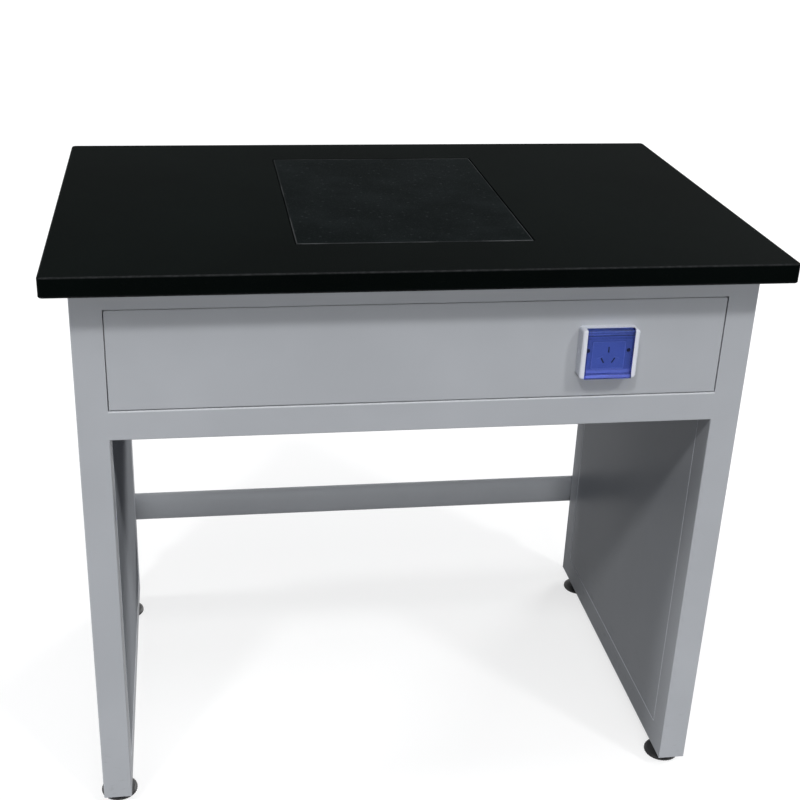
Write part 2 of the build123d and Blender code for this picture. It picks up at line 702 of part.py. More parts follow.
# ---- levelling feet ---------------------------------------------------------------------------
def foot_axis_point(end, height):
    name = "front" if end < 0 else "rear"
    return (FOOT_X, FOOT_Y[name], height)


def foot_bush_blank(end):
    """Return the outside of a threaded bush, on the right-hand side."""
    return rod(BUSH_R, foot_axis_point(end, FOOT_HEIGHT), UP, BUSH_LENGTH)


def make_foot_bushes():
    bushes = []
    for side in SIDES.values():
        for end in ENDS.values():
            bore = rod(STEM_R + RUNNING_CLEARANCE, foot_axis_point(end, FOOT_HEIGHT), UP, BUSH_LENGTH)
            bushes.append(mirrored(foot_bush_blank(end) - bore, side))
    return group(bushes)


def make_foot_stem(side, end):
    """Return the screw, with a hexagon for the spanner just above the pad."""
    shank = rod(STEM_R, foot_axis_point(end, FOOT_SOLE + STEM_HEX_CLEARANCE), UP, STEM_LENGTH)
    hex_bottom = FOOT_PAD_HEIGHT + FOOT_BOSS_HEIGHT + STEM_HEX_CLEARANCE
    hex_height = FOOT_HEIGHT - STEM_HEX_CLEARANCE - hex_bottom
    stem = shank + hex_rod(STEM_HEX, foot_axis_point(end, hex_bottom), UP, hex_height)
    return mirrored(stem, side)


def make_foot_pad(side, end):
    """Return the round foot that stands on the floor and holds the screw's lower end."""
    lower = FOOT_PAD_HEIGHT - FOOT_PAD_TAPER
    disc = rod(FOOT_PAD_R, foot_axis_point(end, 0), UP, lower)
    shoulder_point = foot_axis_point(end, lower + FOOT_PAD_TAPER / 2)
    shoulder = Pos(*shoulder_point) * Cone(FOOT_PAD_R, FOOT_BOSS_R + FOOT_PAD_TAPER, FOOT_PAD_TAPER)
    boss = rod(FOOT_BOSS_R, foot_axis_point(end, lower), UP, FOOT_PAD_TAPER + FOOT_BOSS_HEIGHT)
    socket_height = FOOT_PAD_HEIGHT + FOOT_BOSS_HEIGHT - FOOT_SOLE
    socket = rod(STEM_R + RUNNING_CLEARANCE, foot_axis_point(end, FOOT_SOLE), UP, socket_height)
    return mirrored(disc + shoulder + boss - socket, side)


# ---- mains socket -----------------------------------------------------------------------------
def socket_block(width, z_span, y_span):
    """Return a block centred on the socket from side to side."""
    return block((SOCKET_X - width / 2, SOCKET_X + width / 2), y_span, z_span)


def lid_barrel(radius, width):
    start = (SOCKET_X - width / 2, HINGE_Y, HINGE_Z)
    return rod(radius, start, RIGHT, width)


def faceplate_span():
    """Return the faceplate's lower and upper edges."""
    return (SOCKET_BOTTOM + SOCKET_BOTTOM_RIM + LID_SIDE_GAP, HINGE_Z - HINGE_BARREL_R - 2 * LID_SIDE_GAP)


def module_body(grow):
    """Return the part of the socket module that passes back through the panel, larger by grow."""
    half = MODULE_HEIGHT / 2 - MODULE_FLANGE + grow
    z_span = (MODULE_Z - half, MODULE_Z + half)
    y_span = (FACEPLATE_Y - MODULE_RAISE, FACEPLATE_Y - MODULE_RAISE + MODULE_DEPTH)
    return socket_block(MODULE_WIDTH - 2 * MODULE_FLANGE + 2 * grow, z_span, y_span)


def socket_screw(x):
    """Return a countersunk screw through the faceplate, the base and the panel to the back box."""
    head_depth = SOCKET_SCREW_HEAD_R - SOCKET_SCREW_R
    face_y = FACEPLATE_Y + SOCKET_SCREW_SINK
    place = Plane(origin=(x, face_y + head_depth / 2, SOCKET_SCREW_Z), z_dir=FORWARD)
    head = place * Cone(SOCKET_SCREW_R, SOCKET_SCREW_HEAD_R, head_depth)
    length = FRONT_Y + SHEET + BACK_BOX_LUG - face_y
    return head + rod(SOCKET_SCREW_R, (x, face_y, SOCKET_SCREW_Z), BACK, length)


def socket_screw_places():
    return [SOCKET_X + sign * FACEPLATE_SCREW_SPACING / 2 for sign in (-1, 1)]


def socket_screw_list():
    return [socket_screw(x) for x in socket_screw_places()]


def make_socket_screws():
    return group(socket_screw_list())


def make_socket_base():
    """Return the white surface box, open at the front for the lid and the faceplate."""
    body = socket_block(SOCKET_WIDTH, (SOCKET_BOTTOM, SOCKET_TOP), (SOCKET_FRONT_Y, FRONT_Y))
    body = fillet(body.edges().filter_by(Axis.Y), SOCKET_CORNER_R)
    body = chamfer(body.faces().sort_by(Axis.Y)[0].edges(), SOCKET_CHAMFER)
    cavity_width = SOCKET_WIDTH - 2 * SOCKET_RIM
    floor_y = FACEPLATE_Y + FACEPLATE_THICKNESS
    low = SOCKET_BOTTOM + SOCKET_BOTTOM_RIM
    front = SOCKET_FRONT_Y - CUT_EXTRA
    lid_back = SOCKET_FRONT_Y + LID_THICKNESS + LID_SIDE_GAP
    body -= socket_block(cavity_width, (low, HINGE_Z - HINGE_BARREL_R), (front, floor_y))
    body -= socket_block(cavity_width, (SOCKET_BOTTOM - CUT_EXTRA, low), (front, lid_back))
    barrel_back = HINGE_Y + HINGE_BARREL_R + LID_SIDE_GAP
    top_span = (HINGE_Z - HINGE_BARREL_R - LID_SIDE_GAP, SOCKET_TOP + CUT_EXTRA)
    body -= socket_block(cavity_width, top_span, (SOCKET_FRONT_Y - CUT_EXTRA, barrel_back))
    ledge_span = (low + SOCKET_LEDGE, HINGE_Z - HINGE_BARREL_R - SOCKET_LEDGE)
    body -= module_body(CUT_EXTRA / 2)
    inner_width = FACEPLATE_SCREW_SPACING - 2 * SOCKET_LEDGE
    body -= socket_block(inner_width, ledge_span, (floor_y - CUT_EXTRA, FRONT_Y + CUT_EXTRA))
    body -= lid_barrel(HINGE_PIN_R, cavity_width + 2 * HINGE_PIN_SEAT)
    for screw in socket_screw_list():
        body -= screw
    return body


def make_socket_faceplate():
    plate = socket_block(SOCKET_WIDTH - 2 * SOCKET_RIM - 2 * LID_SIDE_GAP, faceplate_span(),
                         (FACEPLATE_Y, FACEPLATE_Y + FACEPLATE_THICKNESS))
    plate -= module_body(MODULE_FLANGE)
    for x in socket_screw_places():
        well_start = (x, FACEPLATE_Y - CUT_EXTRA, SOCKET_SCREW_Z)
        plate -= rod(SOCKET_SCREW_WELL_R, well_start, BACK, CUT_EXTRA + SOCKET_SCREW_SINK)
        plate -= socket_screw(x)
    return plate


def slot_places():
    """Return the three pin slots as an x offset, a z offset and a tilt in degrees."""
    line_slots = [(sign * LINE_SLOT_OFFSET, -LINE_SLOT_DROP, -sign * LINE_SLOT_TILT) for sign in (-1, 1)]
    return [(0.0, EARTH_SLOT_RISE, 0.0)] + line_slots


def slot_block(place, width, length, y_start, depth):
    """Return a block that stands in one pin slot's position and tilt."""
    x, z, tilt = place
    shape = Box(width, depth, length, align=(Align.CENTER, Align.MIN, Align.CENTER))
    return Pos(SOCKET_X + x, y_start, MODULE_Z + z) * Rot(0, -tilt, 0) * shape


def make_socket_module():
    face_y = FACEPLATE_Y - MODULE_RAISE
    flange_back = FACEPLATE_Y + FACEPLATE_THICKNESS
    z_span = (MODULE_Z - MODULE_HEIGHT / 2, MODULE_Z + MODULE_HEIGHT / 2)
    module = socket_block(MODULE_WIDTH, z_span, (face_y, flange_back))
    module += module_body(0)
    module = chamfer(module.faces().sort_by(Axis.Y)[0].edges(), MODULE_RAISE / 2)
    for place in slot_places():
        module -= slot_block(place, SLOT_WIDTH, SLOT_LENGTH, face_y, MODULE_SKIN)
        module -= slot_block(place, CONTACT_WIDTH, CONTACT_LENGTH, face_y + MODULE_SKIN, MODULE_DEPTH)
    return module


def make_socket_contacts():
    """Return the three brass sleeves that grip a plug's pins."""
    contacts = []
    start = FACEPLATE_Y - MODULE_RAISE + MODULE_SKIN
    for place in slot_places():
        sleeve = slot_block(place, CONTACT_WIDTH, CONTACT_LENGTH, start, CONTACT_DEPTH)
        pocket_depth = CONTACT_DEPTH - SLOT_WIDTH
        contacts.append(sleeve - slot_block(place, SLOT_WIDTH, SLOT_LENGTH, start, pocket_depth))
    return group(contacts)


def lid_outline():
    """Return the lid's side outline: a plate, a finger grip that leans forward below it, and a barrel."""
    front = SOCKET_FRONT_Y
    back = front + LID_THICKNESS
    bottom = SOCKET_BOTTOM + LID_BOTTOM_GAP
    grip_top = bottom + LID_GRIP_HEIGHT
    lip_front = front - LID_GRIP_RISE
    barrel_drop = (HINGE_BARREL_R**2 - (HINGE_BARREL_R - LID_THICKNESS) ** 2) ** 0.5
    front_top = (front, HINGE_Z)
    back_top = (back, HINGE_Z - barrel_drop)
    sides = Polyline(back_top, (back, grip_top), (back - LID_GRIP_RISE, bottom + LID_LIP_HEIGHT),
                     (back - LID_GRIP_RISE, bottom), (lip_front, bottom),
                     (lip_front, bottom + LID_LIP_HEIGHT), (front, grip_top), front_top)
    barrel = ThreePointArc(front_top, (HINGE_Y + HINGE_BARREL_R, HINGE_Z), back_top)
    return make_face(Plane.YZ * (sides + barrel))


def make_socket_lid():
    """Return the clear lid: a plate with a shallow rib behind it, a finger grip and a hinge barrel."""
    width = SOCKET_WIDTH - 2 * SOCKET_RIM - 2 * LID_SIDE_GAP
    lid = Pos(SOCKET_X - width / 2, 0, 0) * extrude(lid_outline(), width, dir=RIGHT)
    rib_bottom = SOCKET_BOTTOM + SOCKET_BOTTOM_RIM + LID_SIDE_GAP
    rib_top = HINGE_Z - HINGE_BARREL_R - LID_RIB_DROP
    rib_front = SOCKET_FRONT_Y + LID_THICKNESS - LID_GRIP_RISE
    rib_back = SOCKET_FRONT_Y + LID_THICKNESS + LID_RIB_DEPTH
    rib = socket_block(width, (rib_bottom, rib_top), (rib_front, rib_back))
    rib_hole = (rib_bottom + LID_RIB, rib_top - LID_RIB)
    rib -= socket_block(width - 2 * LID_RIB, rib_hole, (rib_front, rib_back))
    return lid + rib - lid_barrel(HINGE_PIN_R + RUNNING_CLEARANCE, width)


def make_socket_hinge_pin():
    return lid_barrel(HINGE_PIN_R, SOCKET_WIDTH - 2 * SOCKET_RIM + 2 * HINGE_PIN_SEAT)


def make_socket_back_box():
    """Return the box behind the panel that takes the module, the screws and the lead."""
    z_span = (MODULE_Z - BACK_BOX_HEIGHT / 2, MODULE_Z + BACK_BOX_HEIGHT / 2)
    y_front = FRONT_Y + SHEET
    y_back = y_front + BACK_BOX_DEPTH
    box = socket_block(BACK_BOX_WIDTH, z_span, (y_front, y_back))
    wall = BACK_BOX_WALL
    inner_z = (z_span[0] + wall, z_span[1] - wall)
    box -= socket_block(BACK_BOX_WIDTH - 2 * wall, inner_z, (y_front, y_back - wall))
    for screw in socket_screw_list():
        x = screw.center(CenterOf.BOUNDING_BOX).X
        edge = SOCKET_X + (BACK_BOX_WIDTH / 2 if x > SOCKET_X else -BACK_BOX_WIDTH / 2)
        web_z = (SOCKET_SCREW_Z - BACK_BOX_LUG_R, SOCKET_SCREW_Z + BACK_BOX_LUG_R)
        box += rod(BACK_BOX_LUG_R, (x, y_front, SOCKET_SCREW_Z), BACK, BACK_BOX_LUG)
        box += block((x, edge), (y_front, y_front + BACK_BOX_LUG), web_z)
        box -= screw
    return box - rod(LEAD_R + LEAD_SIDE_CLEARANCE, lead_start(), LEFT, 2 * BACK_BOX_WALL)


# ---- supply lead and gland --------------------------------------------------------------------
def lead_start():
    """Return the point where the lead leaves the back box's side."""
    return (SOCKET_X + BACK_BOX_WIDTH / 2, FRONT_Y + SHEET + BACK_BOX_DEPTH / 2, LEAD_Z)


def lead_end():
    """Return the point where the lead enters the junction box's side."""
    return (SOCKET_X + JUNCTION_WIDTH / 2, REAR_Y - SHEET - JUNCTION_DEPTH / 2, LEAD_Z)


def make_internal_lead():
    """Return the round lead along the right-hand side, from the socket to the junction box."""
    start = lead_start()
    end = lead_end()
    inside = BACK_BOX_WALL
    points = [(start[0] - inside, start[1], LEAD_Z), (LEAD_X, start[1], LEAD_Z),
              (LEAD_X, end[1], LEAD_Z), (end[0] - inside, end[1], LEAD_Z)]
    path = FilletPolyline(*points, radius=LEAD_BEND_R)
    section = Plane(origin=points[0], z_dir=RIGHT) * Circle(LEAD_R)
    return sweep(section, path=path)


def clip_places():
    """Return the y positions of the clips along the lead's straight run."""
    first = lead_start()[1] + LEAD_BEND_R
    last = lead_end()[1] - LEAD_BEND_R
    count = int((last - first) // CLIP_PITCH)
    margin = (last - first - count * CLIP_PITCH) / 2
    return [first + margin + index * CLIP_PITCH for index in range(count + 1)]


def make_lead_clips():
    clips = []
    reach = LEAD_R + LEAD_SIDE_CLEARANCE + CLIP_WALL
    for y in clip_places():
        y_span = (y - CLIP_WIDTH / 2, y + CLIP_WIDTH / 2)
        body = block((LEAD_X - reach, INNER_X), y_span, (LEAD_Z - reach, LEAD_Z + reach))
        body = fillet(body.edges().filter_by(Axis.Y).group_by(Axis.X)[0], CLIP_WALL)
        bore = rod(LEAD_R + LEAD_SIDE_CLEARANCE, (LEAD_X, y - CLIP_WIDTH, LEAD_Z), BACK, 2 * CLIP_WIDTH)
        clips.append(body - bore)
    return group(clips)


def make_cable_gland():
    """Return the gland in the rear panel and its lock nut, with the cable's bore through both."""
    centre = (SOCKET_X, REAR_Y, GLAND_Z)
    outside = hex_rod(GLAND_HEX, centre, BACK, GLAND_HEX_LENGTH)
    dome = rod(GLAND_DOME_R, (SOCKET_X, REAR_Y + GLAND_HEX_LENGTH, GLAND_Z), BACK, GLAND_DOME_LENGTH)
    dome = chamfer(dome.faces().sort_by(Axis.Y)[-1].edges(), GLAND_DOME_R - GLAND_BORE_R - 2 * CUT_EXTRA)
    thread_length = GLAND_THREAD_LENGTH + SHEET + JUNCTION_WALL
    thread = rod(GLAND_THREAD_R, centre, FORWARD, thread_length)
    bore_start = (SOCKET_X, REAR_Y + GLAND_HEX_LENGTH + GLAND_DOME_LENGTH + CUT_EXTRA, GLAND_Z)
    bore_length = GLAND_HEX_LENGTH + GLAND_DOME_LENGTH + thread_length + 2 * CUT_EXTRA
    body = outside + dome + thread - rod(GLAND_BORE_R, bore_start, FORWARD, bore_length)
    nut_start = (SOCKET_X, REAR_Y - SHEET - JUNCTION_WALL, GLAND_Z)
    nut = hex_rod(GLAND_HEX, nut_start, FORWARD, GLAND_NUT_LENGTH) - thread
    return group([body, nut])


def make_junction_box():
    """Return the box, its cover and the three terminals that join the supply to the lead."""
    y_back = REAR_Y - SHEET
    y_front = y_back - JUNCTION_DEPTH
    z_span = (GLAND_Z - JUNCTION_HEIGHT / 2, GLAND_Z + JUNCTION_HEIGHT / 2)
    wall = JUNCTION_WALL
    box = socket_block(JUNCTION_WIDTH, z_span, (y_front + wall, y_back))
    inner_z = (z_span[0] + wall, z_span[1] - wall)
    box -= socket_block(JUNCTION_WIDTH - 2 * wall, inner_z, (y_front + wall, y_back - wall))
    box -= rod(GLAND_THREAD_R, (SOCKET_X, y_back + CUT_EXTRA, GLAND_Z), FORWARD, wall + 2 * CUT_EXTRA)
    box -= rod(LEAD_R + LEAD_SIDE_CLEARANCE, lead_end(), LEFT, 2 * wall)
    cover = socket_block(JUNCTION_WIDTH, z_span, (y_front, y_front + wall))
    terminals = []
    for index in (-1, 0, 1):
        x = SOCKET_X + index * TERMINAL_PITCH
        half = TERMINAL_SIZE / 2
        terminals.append(block((x - half, x + half), (y_front + wall, y_front + wall + TERMINAL_SIZE),
                               (GLAND_Z - half, GLAND_Z + half)))
    return group([box, cover] + terminals)


# ---- the whole table --------------------------------------------------------------------------
def frame_nodes():
    nodes = {}
    for side_name, side in SIDES.items():
        for end_name, end in ENDS.items():
            nodes[f"{end_name}_post_{side_name}"] = make_post(side, end)
            nodes[f"foot_stem_{end_name}_{side_name}"] = make_foot_stem(side, end)
            nodes[f"foot_pad_{end_name}_{side_name}"] = make_foot_pad(side, end)
        nodes[f"side_top_rail_{side_name}"] = make_side_rail(side, True)
        nodes[f"side_bottom_rail_{side_name}"] = make_side_rail(side, False)
        nodes[f"inner_skin_{side_name}"] = make_side_skin(side, False)
        nodes[f"outer_skin_{side_name}"] = make_side_skin(side, True)
    for end_name, end in ENDS.items():
        nodes[f"{end_name}_top_rail"] = make_cross_rail(end, (APRON_TOP, FRAME_TOP), TOP_RAIL_DEPTH, False)
        nodes[f"{end_name}_lower_rail"] = make_cross_rail(end, (KNEE_TOP, APRON_BOTTOM), TUBE, True)
    nodes["foot_bushes"] = make_foot_bushes()
    nodes["crossbar"] = make_crossbar()
    nodes["crossbar_caps"] = make_crossbar_caps()
    nodes["crossbar_saddles"] = make_crossbar_saddles()
    nodes["crossbar_bolts"] = make_crossbar_bolts()
    nodes["crossbar_nuts"] = make_crossbar_nuts()
    return nodes


def top_nodes():
    return {
        "worktop": make_worktop(),
        "worktop_brackets": make_worktop_brackets(),
        "worktop_screws": make_worktop_screws(),
        "balance_slab": make_balance_slab(),
        "slab_pads": make_slab_pads(),
        "slab_tray": make_slab_tray(),
        "isolator_rubbers": make_isolator_rubbers(),
        "isolator_screws": make_isolator_screws(),
        "isolator_studs": make_isolator_studs(),
        "isolator_nuts": make_isolator_nuts(),
        "isolator_beam_front": make_isolator_beam(BEAM_Y[0]),
        "isolator_beam_rear": make_isolator_beam(BEAM_Y[1]),
        "beam_end_plates": make_beam_end_plates(),
        "beam_bolts": make_beam_bolts(),
    }


def apron_nodes():
    return {
        "front_panel": make_front_panel(),
        "rear_panel": make_rear_panel(),
        "panel_brackets": make_panel_brackets(),
        "panel_screws": make_panel_screws(),
        "socket_base": make_socket_base(),
        "socket_faceplate": make_socket_faceplate(),
        "socket_module": make_socket_module(),
        "socket_contacts": make_socket_contacts(),
        "socket_screws": make_socket_screws(),
        "socket_back_box": make_socket_back_box(),
        "socket_lid": make_socket_lid(),
        "socket_hinge_pin": make_socket_hinge_pin(),
        "internal_lead": make_internal_lead(),
        "lead_clips": make_lead_clips(),
        "cable_gland": make_cable_gland(),
        "junction_box": make_junction_box(),
    }


def main():
    os.makedirs("parts", exist_ok=True)
    nodes = {**frame_nodes(), **top_nodes(), **apron_nodes()}
    for name, shape in nodes.items():
        export_step(shape, f"parts/{name}.step")
    print(f"{len(nodes)} nodes written")


main()
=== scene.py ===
"""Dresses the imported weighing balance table: its finishes, its small hardware and a plain studio.

Lengths are metres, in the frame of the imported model: +X to the user's right, +Y to the back, +Z up.
"""
import json
import logging
import math
from collections.abc import Iterable, Sequence
from dataclasses import dataclass, replace
from enum import Enum

import bmesh
import bpy
from mathutils import Matrix, Vector


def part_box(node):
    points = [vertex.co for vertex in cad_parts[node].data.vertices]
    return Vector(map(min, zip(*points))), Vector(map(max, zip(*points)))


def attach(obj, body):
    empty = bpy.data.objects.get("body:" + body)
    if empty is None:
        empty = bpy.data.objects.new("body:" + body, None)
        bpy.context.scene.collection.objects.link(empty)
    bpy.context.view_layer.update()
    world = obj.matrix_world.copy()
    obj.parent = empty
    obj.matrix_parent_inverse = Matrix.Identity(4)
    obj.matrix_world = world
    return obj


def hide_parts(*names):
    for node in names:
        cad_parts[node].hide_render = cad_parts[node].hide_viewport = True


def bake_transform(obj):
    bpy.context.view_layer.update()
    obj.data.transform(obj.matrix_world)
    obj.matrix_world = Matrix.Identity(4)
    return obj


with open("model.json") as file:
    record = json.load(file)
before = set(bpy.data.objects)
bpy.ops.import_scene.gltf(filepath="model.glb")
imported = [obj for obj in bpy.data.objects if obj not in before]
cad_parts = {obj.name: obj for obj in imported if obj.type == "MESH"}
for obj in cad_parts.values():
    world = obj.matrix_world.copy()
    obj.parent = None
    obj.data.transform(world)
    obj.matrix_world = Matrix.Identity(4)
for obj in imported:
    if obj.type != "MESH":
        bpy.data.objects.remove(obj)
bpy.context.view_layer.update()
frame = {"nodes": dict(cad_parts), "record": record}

LOG = logging.getLogger("balance_table")
MM = 0.001
SIDES = {"left": -1, "right": 1}
ENDS = ("front", "rear")
SMOOTH_ANGLE = math.radians(32.0)
SAME_POINT = 1e-6
FAR = 9.0
COAT = (0.415, 0.43, 0.455)
Triple = tuple[float, float, float]
Colour = tuple[float, float, float]
Value = float | Sequence[float] | bpy.types.NodeSocket
Outputs = bpy.types.bpy_prop_collection
Profile = list[tuple[float, float]]
Sizes = dict[str, float | int]


class Facing(Enum):
    """The way that the head of a fastener looks."""

    UP = (0.0, 0.0, 1.0)
    DOWN = (0.0, 0.0, -1.0)
    FORWARD = (0.0, -1.0, 0.0)
    BACK = (0.0, 1.0, 0.0)
    TO_THE_MIDDLE = (-1.0, 0.0, 0.0)

    @property
    def way(self) -> Vector:
        """The direction as a vector."""
        return Vector(self.value)


class Recess(Enum):
    """What is cut into the head of a fastener."""

    NONE = "none"
    HEXAGON = "hexagon"
    CROSS = "cross"


# ---- nodes ------------------------------------------------------------------------------------
class NodeBoard:
    """Places nodes in one node tree and joins their sockets."""

    def __init__(self, tree: bpy.types.NodeTree) -> None:
        """Keeps the tree that the nodes go into."""
        self.tree = tree

    def put(self, kind: str, inputs: dict | None = None, **settings: object) -> bpy.types.Node:
        """Adds one node.

        Args:
            kind: The node's type.
            inputs: A value or a socket for each input, by name or number.
            settings: The node's own settings.

        Returns:
            The new node.
        """
        node = self.tree.nodes.new(kind)
        for name, value in settings.items():
            setattr(node, name, value)
        for key, value in (inputs or {}).items():
            self.feed(node.inputs[key], value)
        return node

    def feed(self, socket: bpy.types.NodeSocket, value: Value) -> None:
        """Sets an input to a value, or links it to a socket.

        Args:
            socket: The input.
            value: The value or the socket.
        """
        if isinstance(value, bpy.types.NodeSocket):
            self.tree.links.new(value, socket)
        elif socket.type == "RGBA" and len(value) == 3:
            socket.default_value = (*value, 1.0)
        else:
            socket.default_value = value

    def math(self, operation: str, *values: Value) -> bpy.types.NodeSocket:
        """Returns the result of a Math node on the given values."""
        return self.put("ShaderNodeMath", dict(enumerate(values)), operation=operation).outputs[0]

    def vector(self, operation: str, *values: Value) -> bpy.types.NodeSocket:
        """Returns the result of a Vector Math node on the given values."""
        return self.put("ShaderNodeVectorMath", dict(enumerate(values)), operation=operation).outputs[0]

    def scaled(self, colour: Value, gain: Value) -> bpy.types.NodeSocket:
        """Returns a colour times a gain."""
        return self.put("ShaderNodeVectorMath", {0: colour, "Scale": gain}, operation="SCALE").outputs[0]

    def parts(self, vector: Value) -> Outputs:
        """Returns the X, Y and Z of a vector."""
        return self.put("ShaderNodeSeparateXYZ", {0: vector}).outputs

    def whole(self, x: Value = 0.0, y: Value = 0.0, z: Value = 0.0) -> bpy.types.NodeSocket:
        """Returns the vector that X, Y and Z make."""
        return self.put("ShaderNodeCombineXYZ", {0: x, 1: y, 2: z}).outputs[0]

    def ramp(self, value: Value, start: float, end: float, low: float = 0.0,
             high: float = 1.0) -> bpy.types.NodeSocket:
        """Maps a value smoothly and clamped.

        Args:
            value: The value to map.
            start: Where the result is low.
            end: Where the result is high.
            low: The result at start.
            high: The result at end.

        Returns:
            The mapped value's socket.
        """
        inputs = {"Value": value, "From Min": start, "From Max": end, "To Min": low, "To Max": high}
        return self.put("ShaderNodeMapRange", inputs, interpolation_type="SMOOTHSTEP").outputs[0]

    def mix(self, factor: Value, first: Value, second: Value) -> bpy.types.NodeSocket:
        """Returns two colours mixed by a factor."""
        return self.put("ShaderNodeMix", {0: factor, 6: first, 7: second}, data_type="RGBA").outputs[2]

    def noise(self, point: Value, scale: Value, detail: float, seed: Value = 0.0) -> bpy.types.NodeSocket:
        """Returns a noise value from 0 to 1, with scale waves to the metre."""
        inputs = {"Vector": point, "Scale": scale, "Detail": detail, "Roughness": 0.55, "W": seed}
        return self.put("ShaderNodeTexNoise", inputs, noise_dimensions="4D").outputs[0]


class EffectShelf:
    """Shader node groups that several finishes share, each built once."""

    VECTOR = "NodeSocketVector"
    FLOAT = "NodeSocketFloat"
    COLOR = "NodeSocketColor"

    def __init__(self) -> None:
        """Builds every group."""
        self.grain = self._grain()
        self.drift = self._drift()
        self.dust = self._dust()
        # The edge mask group serves painted highlights along edges.
        self.highlight_and_fleck = self._edge_highlights()
        self.drawn = self._drawn()
        self.specks = self._specks()

    def _open(self, name: str, inputs: dict[str, str],
              outputs: dict[str, str]) -> tuple[NodeBoard, Outputs, bpy.types.Node]:
        """Starts a group.

        Args:
            name: The group's name.
            inputs: Its inputs' names and socket types.
            outputs: Its outputs' names and socket types.

        Returns:
            The board, the sockets of the group's inputs, and its output node.
        """
        tree = bpy.data.node_groups.new(name, "ShaderNodeTree")
        for label, kind in inputs.items():
            tree.interface.new_socket(name=label, in_out="INPUT", socket_type=kind)
        for label, kind in outputs.items():
            tree.interface.new_socket(name=label, in_out="OUTPUT", socket_type=kind)
        given = tree.nodes.new("NodeGroupInput").outputs
        return NodeBoard(tree), given, tree.nodes.new("NodeGroupOutput")

    def _grain(self) -> bpy.types.NodeTree:
        """Builds a fine surface grain, with a height and an unevenness for the gloss.

        Returns:
            The group.
        """
        board, given, result = self._open("fine_grain", {"Vector": self.VECTOR, "Scale": self.FLOAT},
                                          {"Height": self.FLOAT, "Unevenness": self.FLOAT})
        coarse = board.noise(given["Vector"], given["Scale"], detail=2.0)
        fine_scale = board.math("MULTIPLY", given["Scale"], 2.7)
        fine = board.noise(given["Vector"], fine_scale, detail=1.0)
        height = board.math("MULTIPLY_ADD", fine, 0.4, board.math("MULTIPLY", coarse, 0.6))
        board.feed(result.inputs["Height"], height)
        board.feed(result.inputs["Unevenness"], board.ramp(coarse, 0.35, 0.7, low=-1.0, high=1.0))
        return board.tree

    def _drift(self) -> bpy.types.NodeTree:
        """Builds a slow wander of a colour's lightness, as between one part of a coat and another.

        Returns:
            The group.
        """
        board, given, result = self._open(
            "slow_drift",
            {"Vector": self.VECTOR, "Color": self.COLOR, "Scale": self.FLOAT, "Amount": self.FLOAT},
            {"Color": self.COLOR, "Wander": self.FLOAT})
        slow = board.noise(given["Vector"], given["Scale"], detail=3.0)
        wander = board.ramp(slow, 0.3, 0.7, low=-1.0, high=1.0)
        gain = board.math("MULTIPLY_ADD", wander, given["Amount"], 1.0)
        board.feed(result.inputs["Color"], board.scaled(given["Color"], gain))
        board.feed(result.inputs["Wander"], wander)
        return board.tree

    def _dust(self) -> bpy.types.NodeTree:
        """Builds a thin patchy film of dust on faces that look up.

        Returns:
            The group.
        """
        board, given, result = self._open(
            "settled_dust",
            {"Vector": self.VECTOR, "Color": self.COLOR, "Dust": self.COLOR, "Amount": self.FLOAT},
            {"Color": self.COLOR, "Mask": self.FLOAT})
        normal = board.put("ShaderNodeNewGeometry").outputs["Normal"]
        upward = board.parts(normal)["Z"]
        patches = board.ramp(board.noise(given["Vector"], 21.0, detail=5.0), 0.32, 0.72, low=0.25)
        level = board.math("MULTIPLY", board.ramp(upward, 0.5, 0.95), patches)
        mask = board.math("MULTIPLY", level, given["Amount"])
        board.feed(result.inputs["Color"], board.mix(mask, given["Color"], given["Dust"]))
        board.feed(result.inputs["Mask"], mask)
        return board.tree

    def _edge_highlights(self) -> bpy.types.NodeTree:
        """Builds a mask along the edges of a box-shaped piece for a painted highlight, broken up in patches.

        Returns:
            The group.
        """
        board, given, result = self._open(
            "painted_edge_highlights",
            {"Vector": self.VECTOR, "Low": self.VECTOR, "High": self.VECTOR, "Width": self.VECTOR,
             "Breakup": self.FLOAT, "Scale": self.FLOAT, "Seed": self.FLOAT},
            {"Mask": self.FLOAT})
        from_low = board.vector("SUBTRACT", given["Vector"], given["Low"])
        from_high = board.vector("SUBTRACT", given["High"], given["Vector"])
        nearest = board.vector("ABSOLUTE", board.vector("MINIMUM", from_low, from_high))
        shares = board.parts(board.vector("DIVIDE", nearest, given["Width"]))
        close = [board.ramp(share, 1.0, 0.35) for share in shares]
        pairs = [board.math("MULTIPLY", close[i], close[(i + 1) % 3]) for i in range(3)]
        edge = board.math("MAXIMUM", pairs[0], board.math("MAXIMUM", pairs[1], pairs[2]))
        patches = board.noise(given["Vector"], given["Scale"], 4.0, given["Seed"])
        broken = board.math("MULTIPLY", board.ramp(patches, 0.35, 0.6), given["Breakup"])
        kept = board.math("SUBTRACT", 1.0, broken)
        board.feed(result.inputs["Mask"], board.math("MULTIPLY", edge, kept))
        return board.tree

    def _drawn(self) -> bpy.types.NodeTree:
        """Builds fine lines drawn out along one axis, as on rolled or turned metal.

        Returns:
            The group.
        """
        board, given, result = self._open(
            "drawn_lines", {"Vector": self.VECTOR, "Stretch": self.VECTOR, "Scale": self.FLOAT},
            {"Height": self.FLOAT})
        pulled = board.vector("MULTIPLY", given["Vector"], given["Stretch"])
        board.feed(result.inputs["Height"], board.noise(pulled, given["Scale"], detail=3.0))
        return board.tree

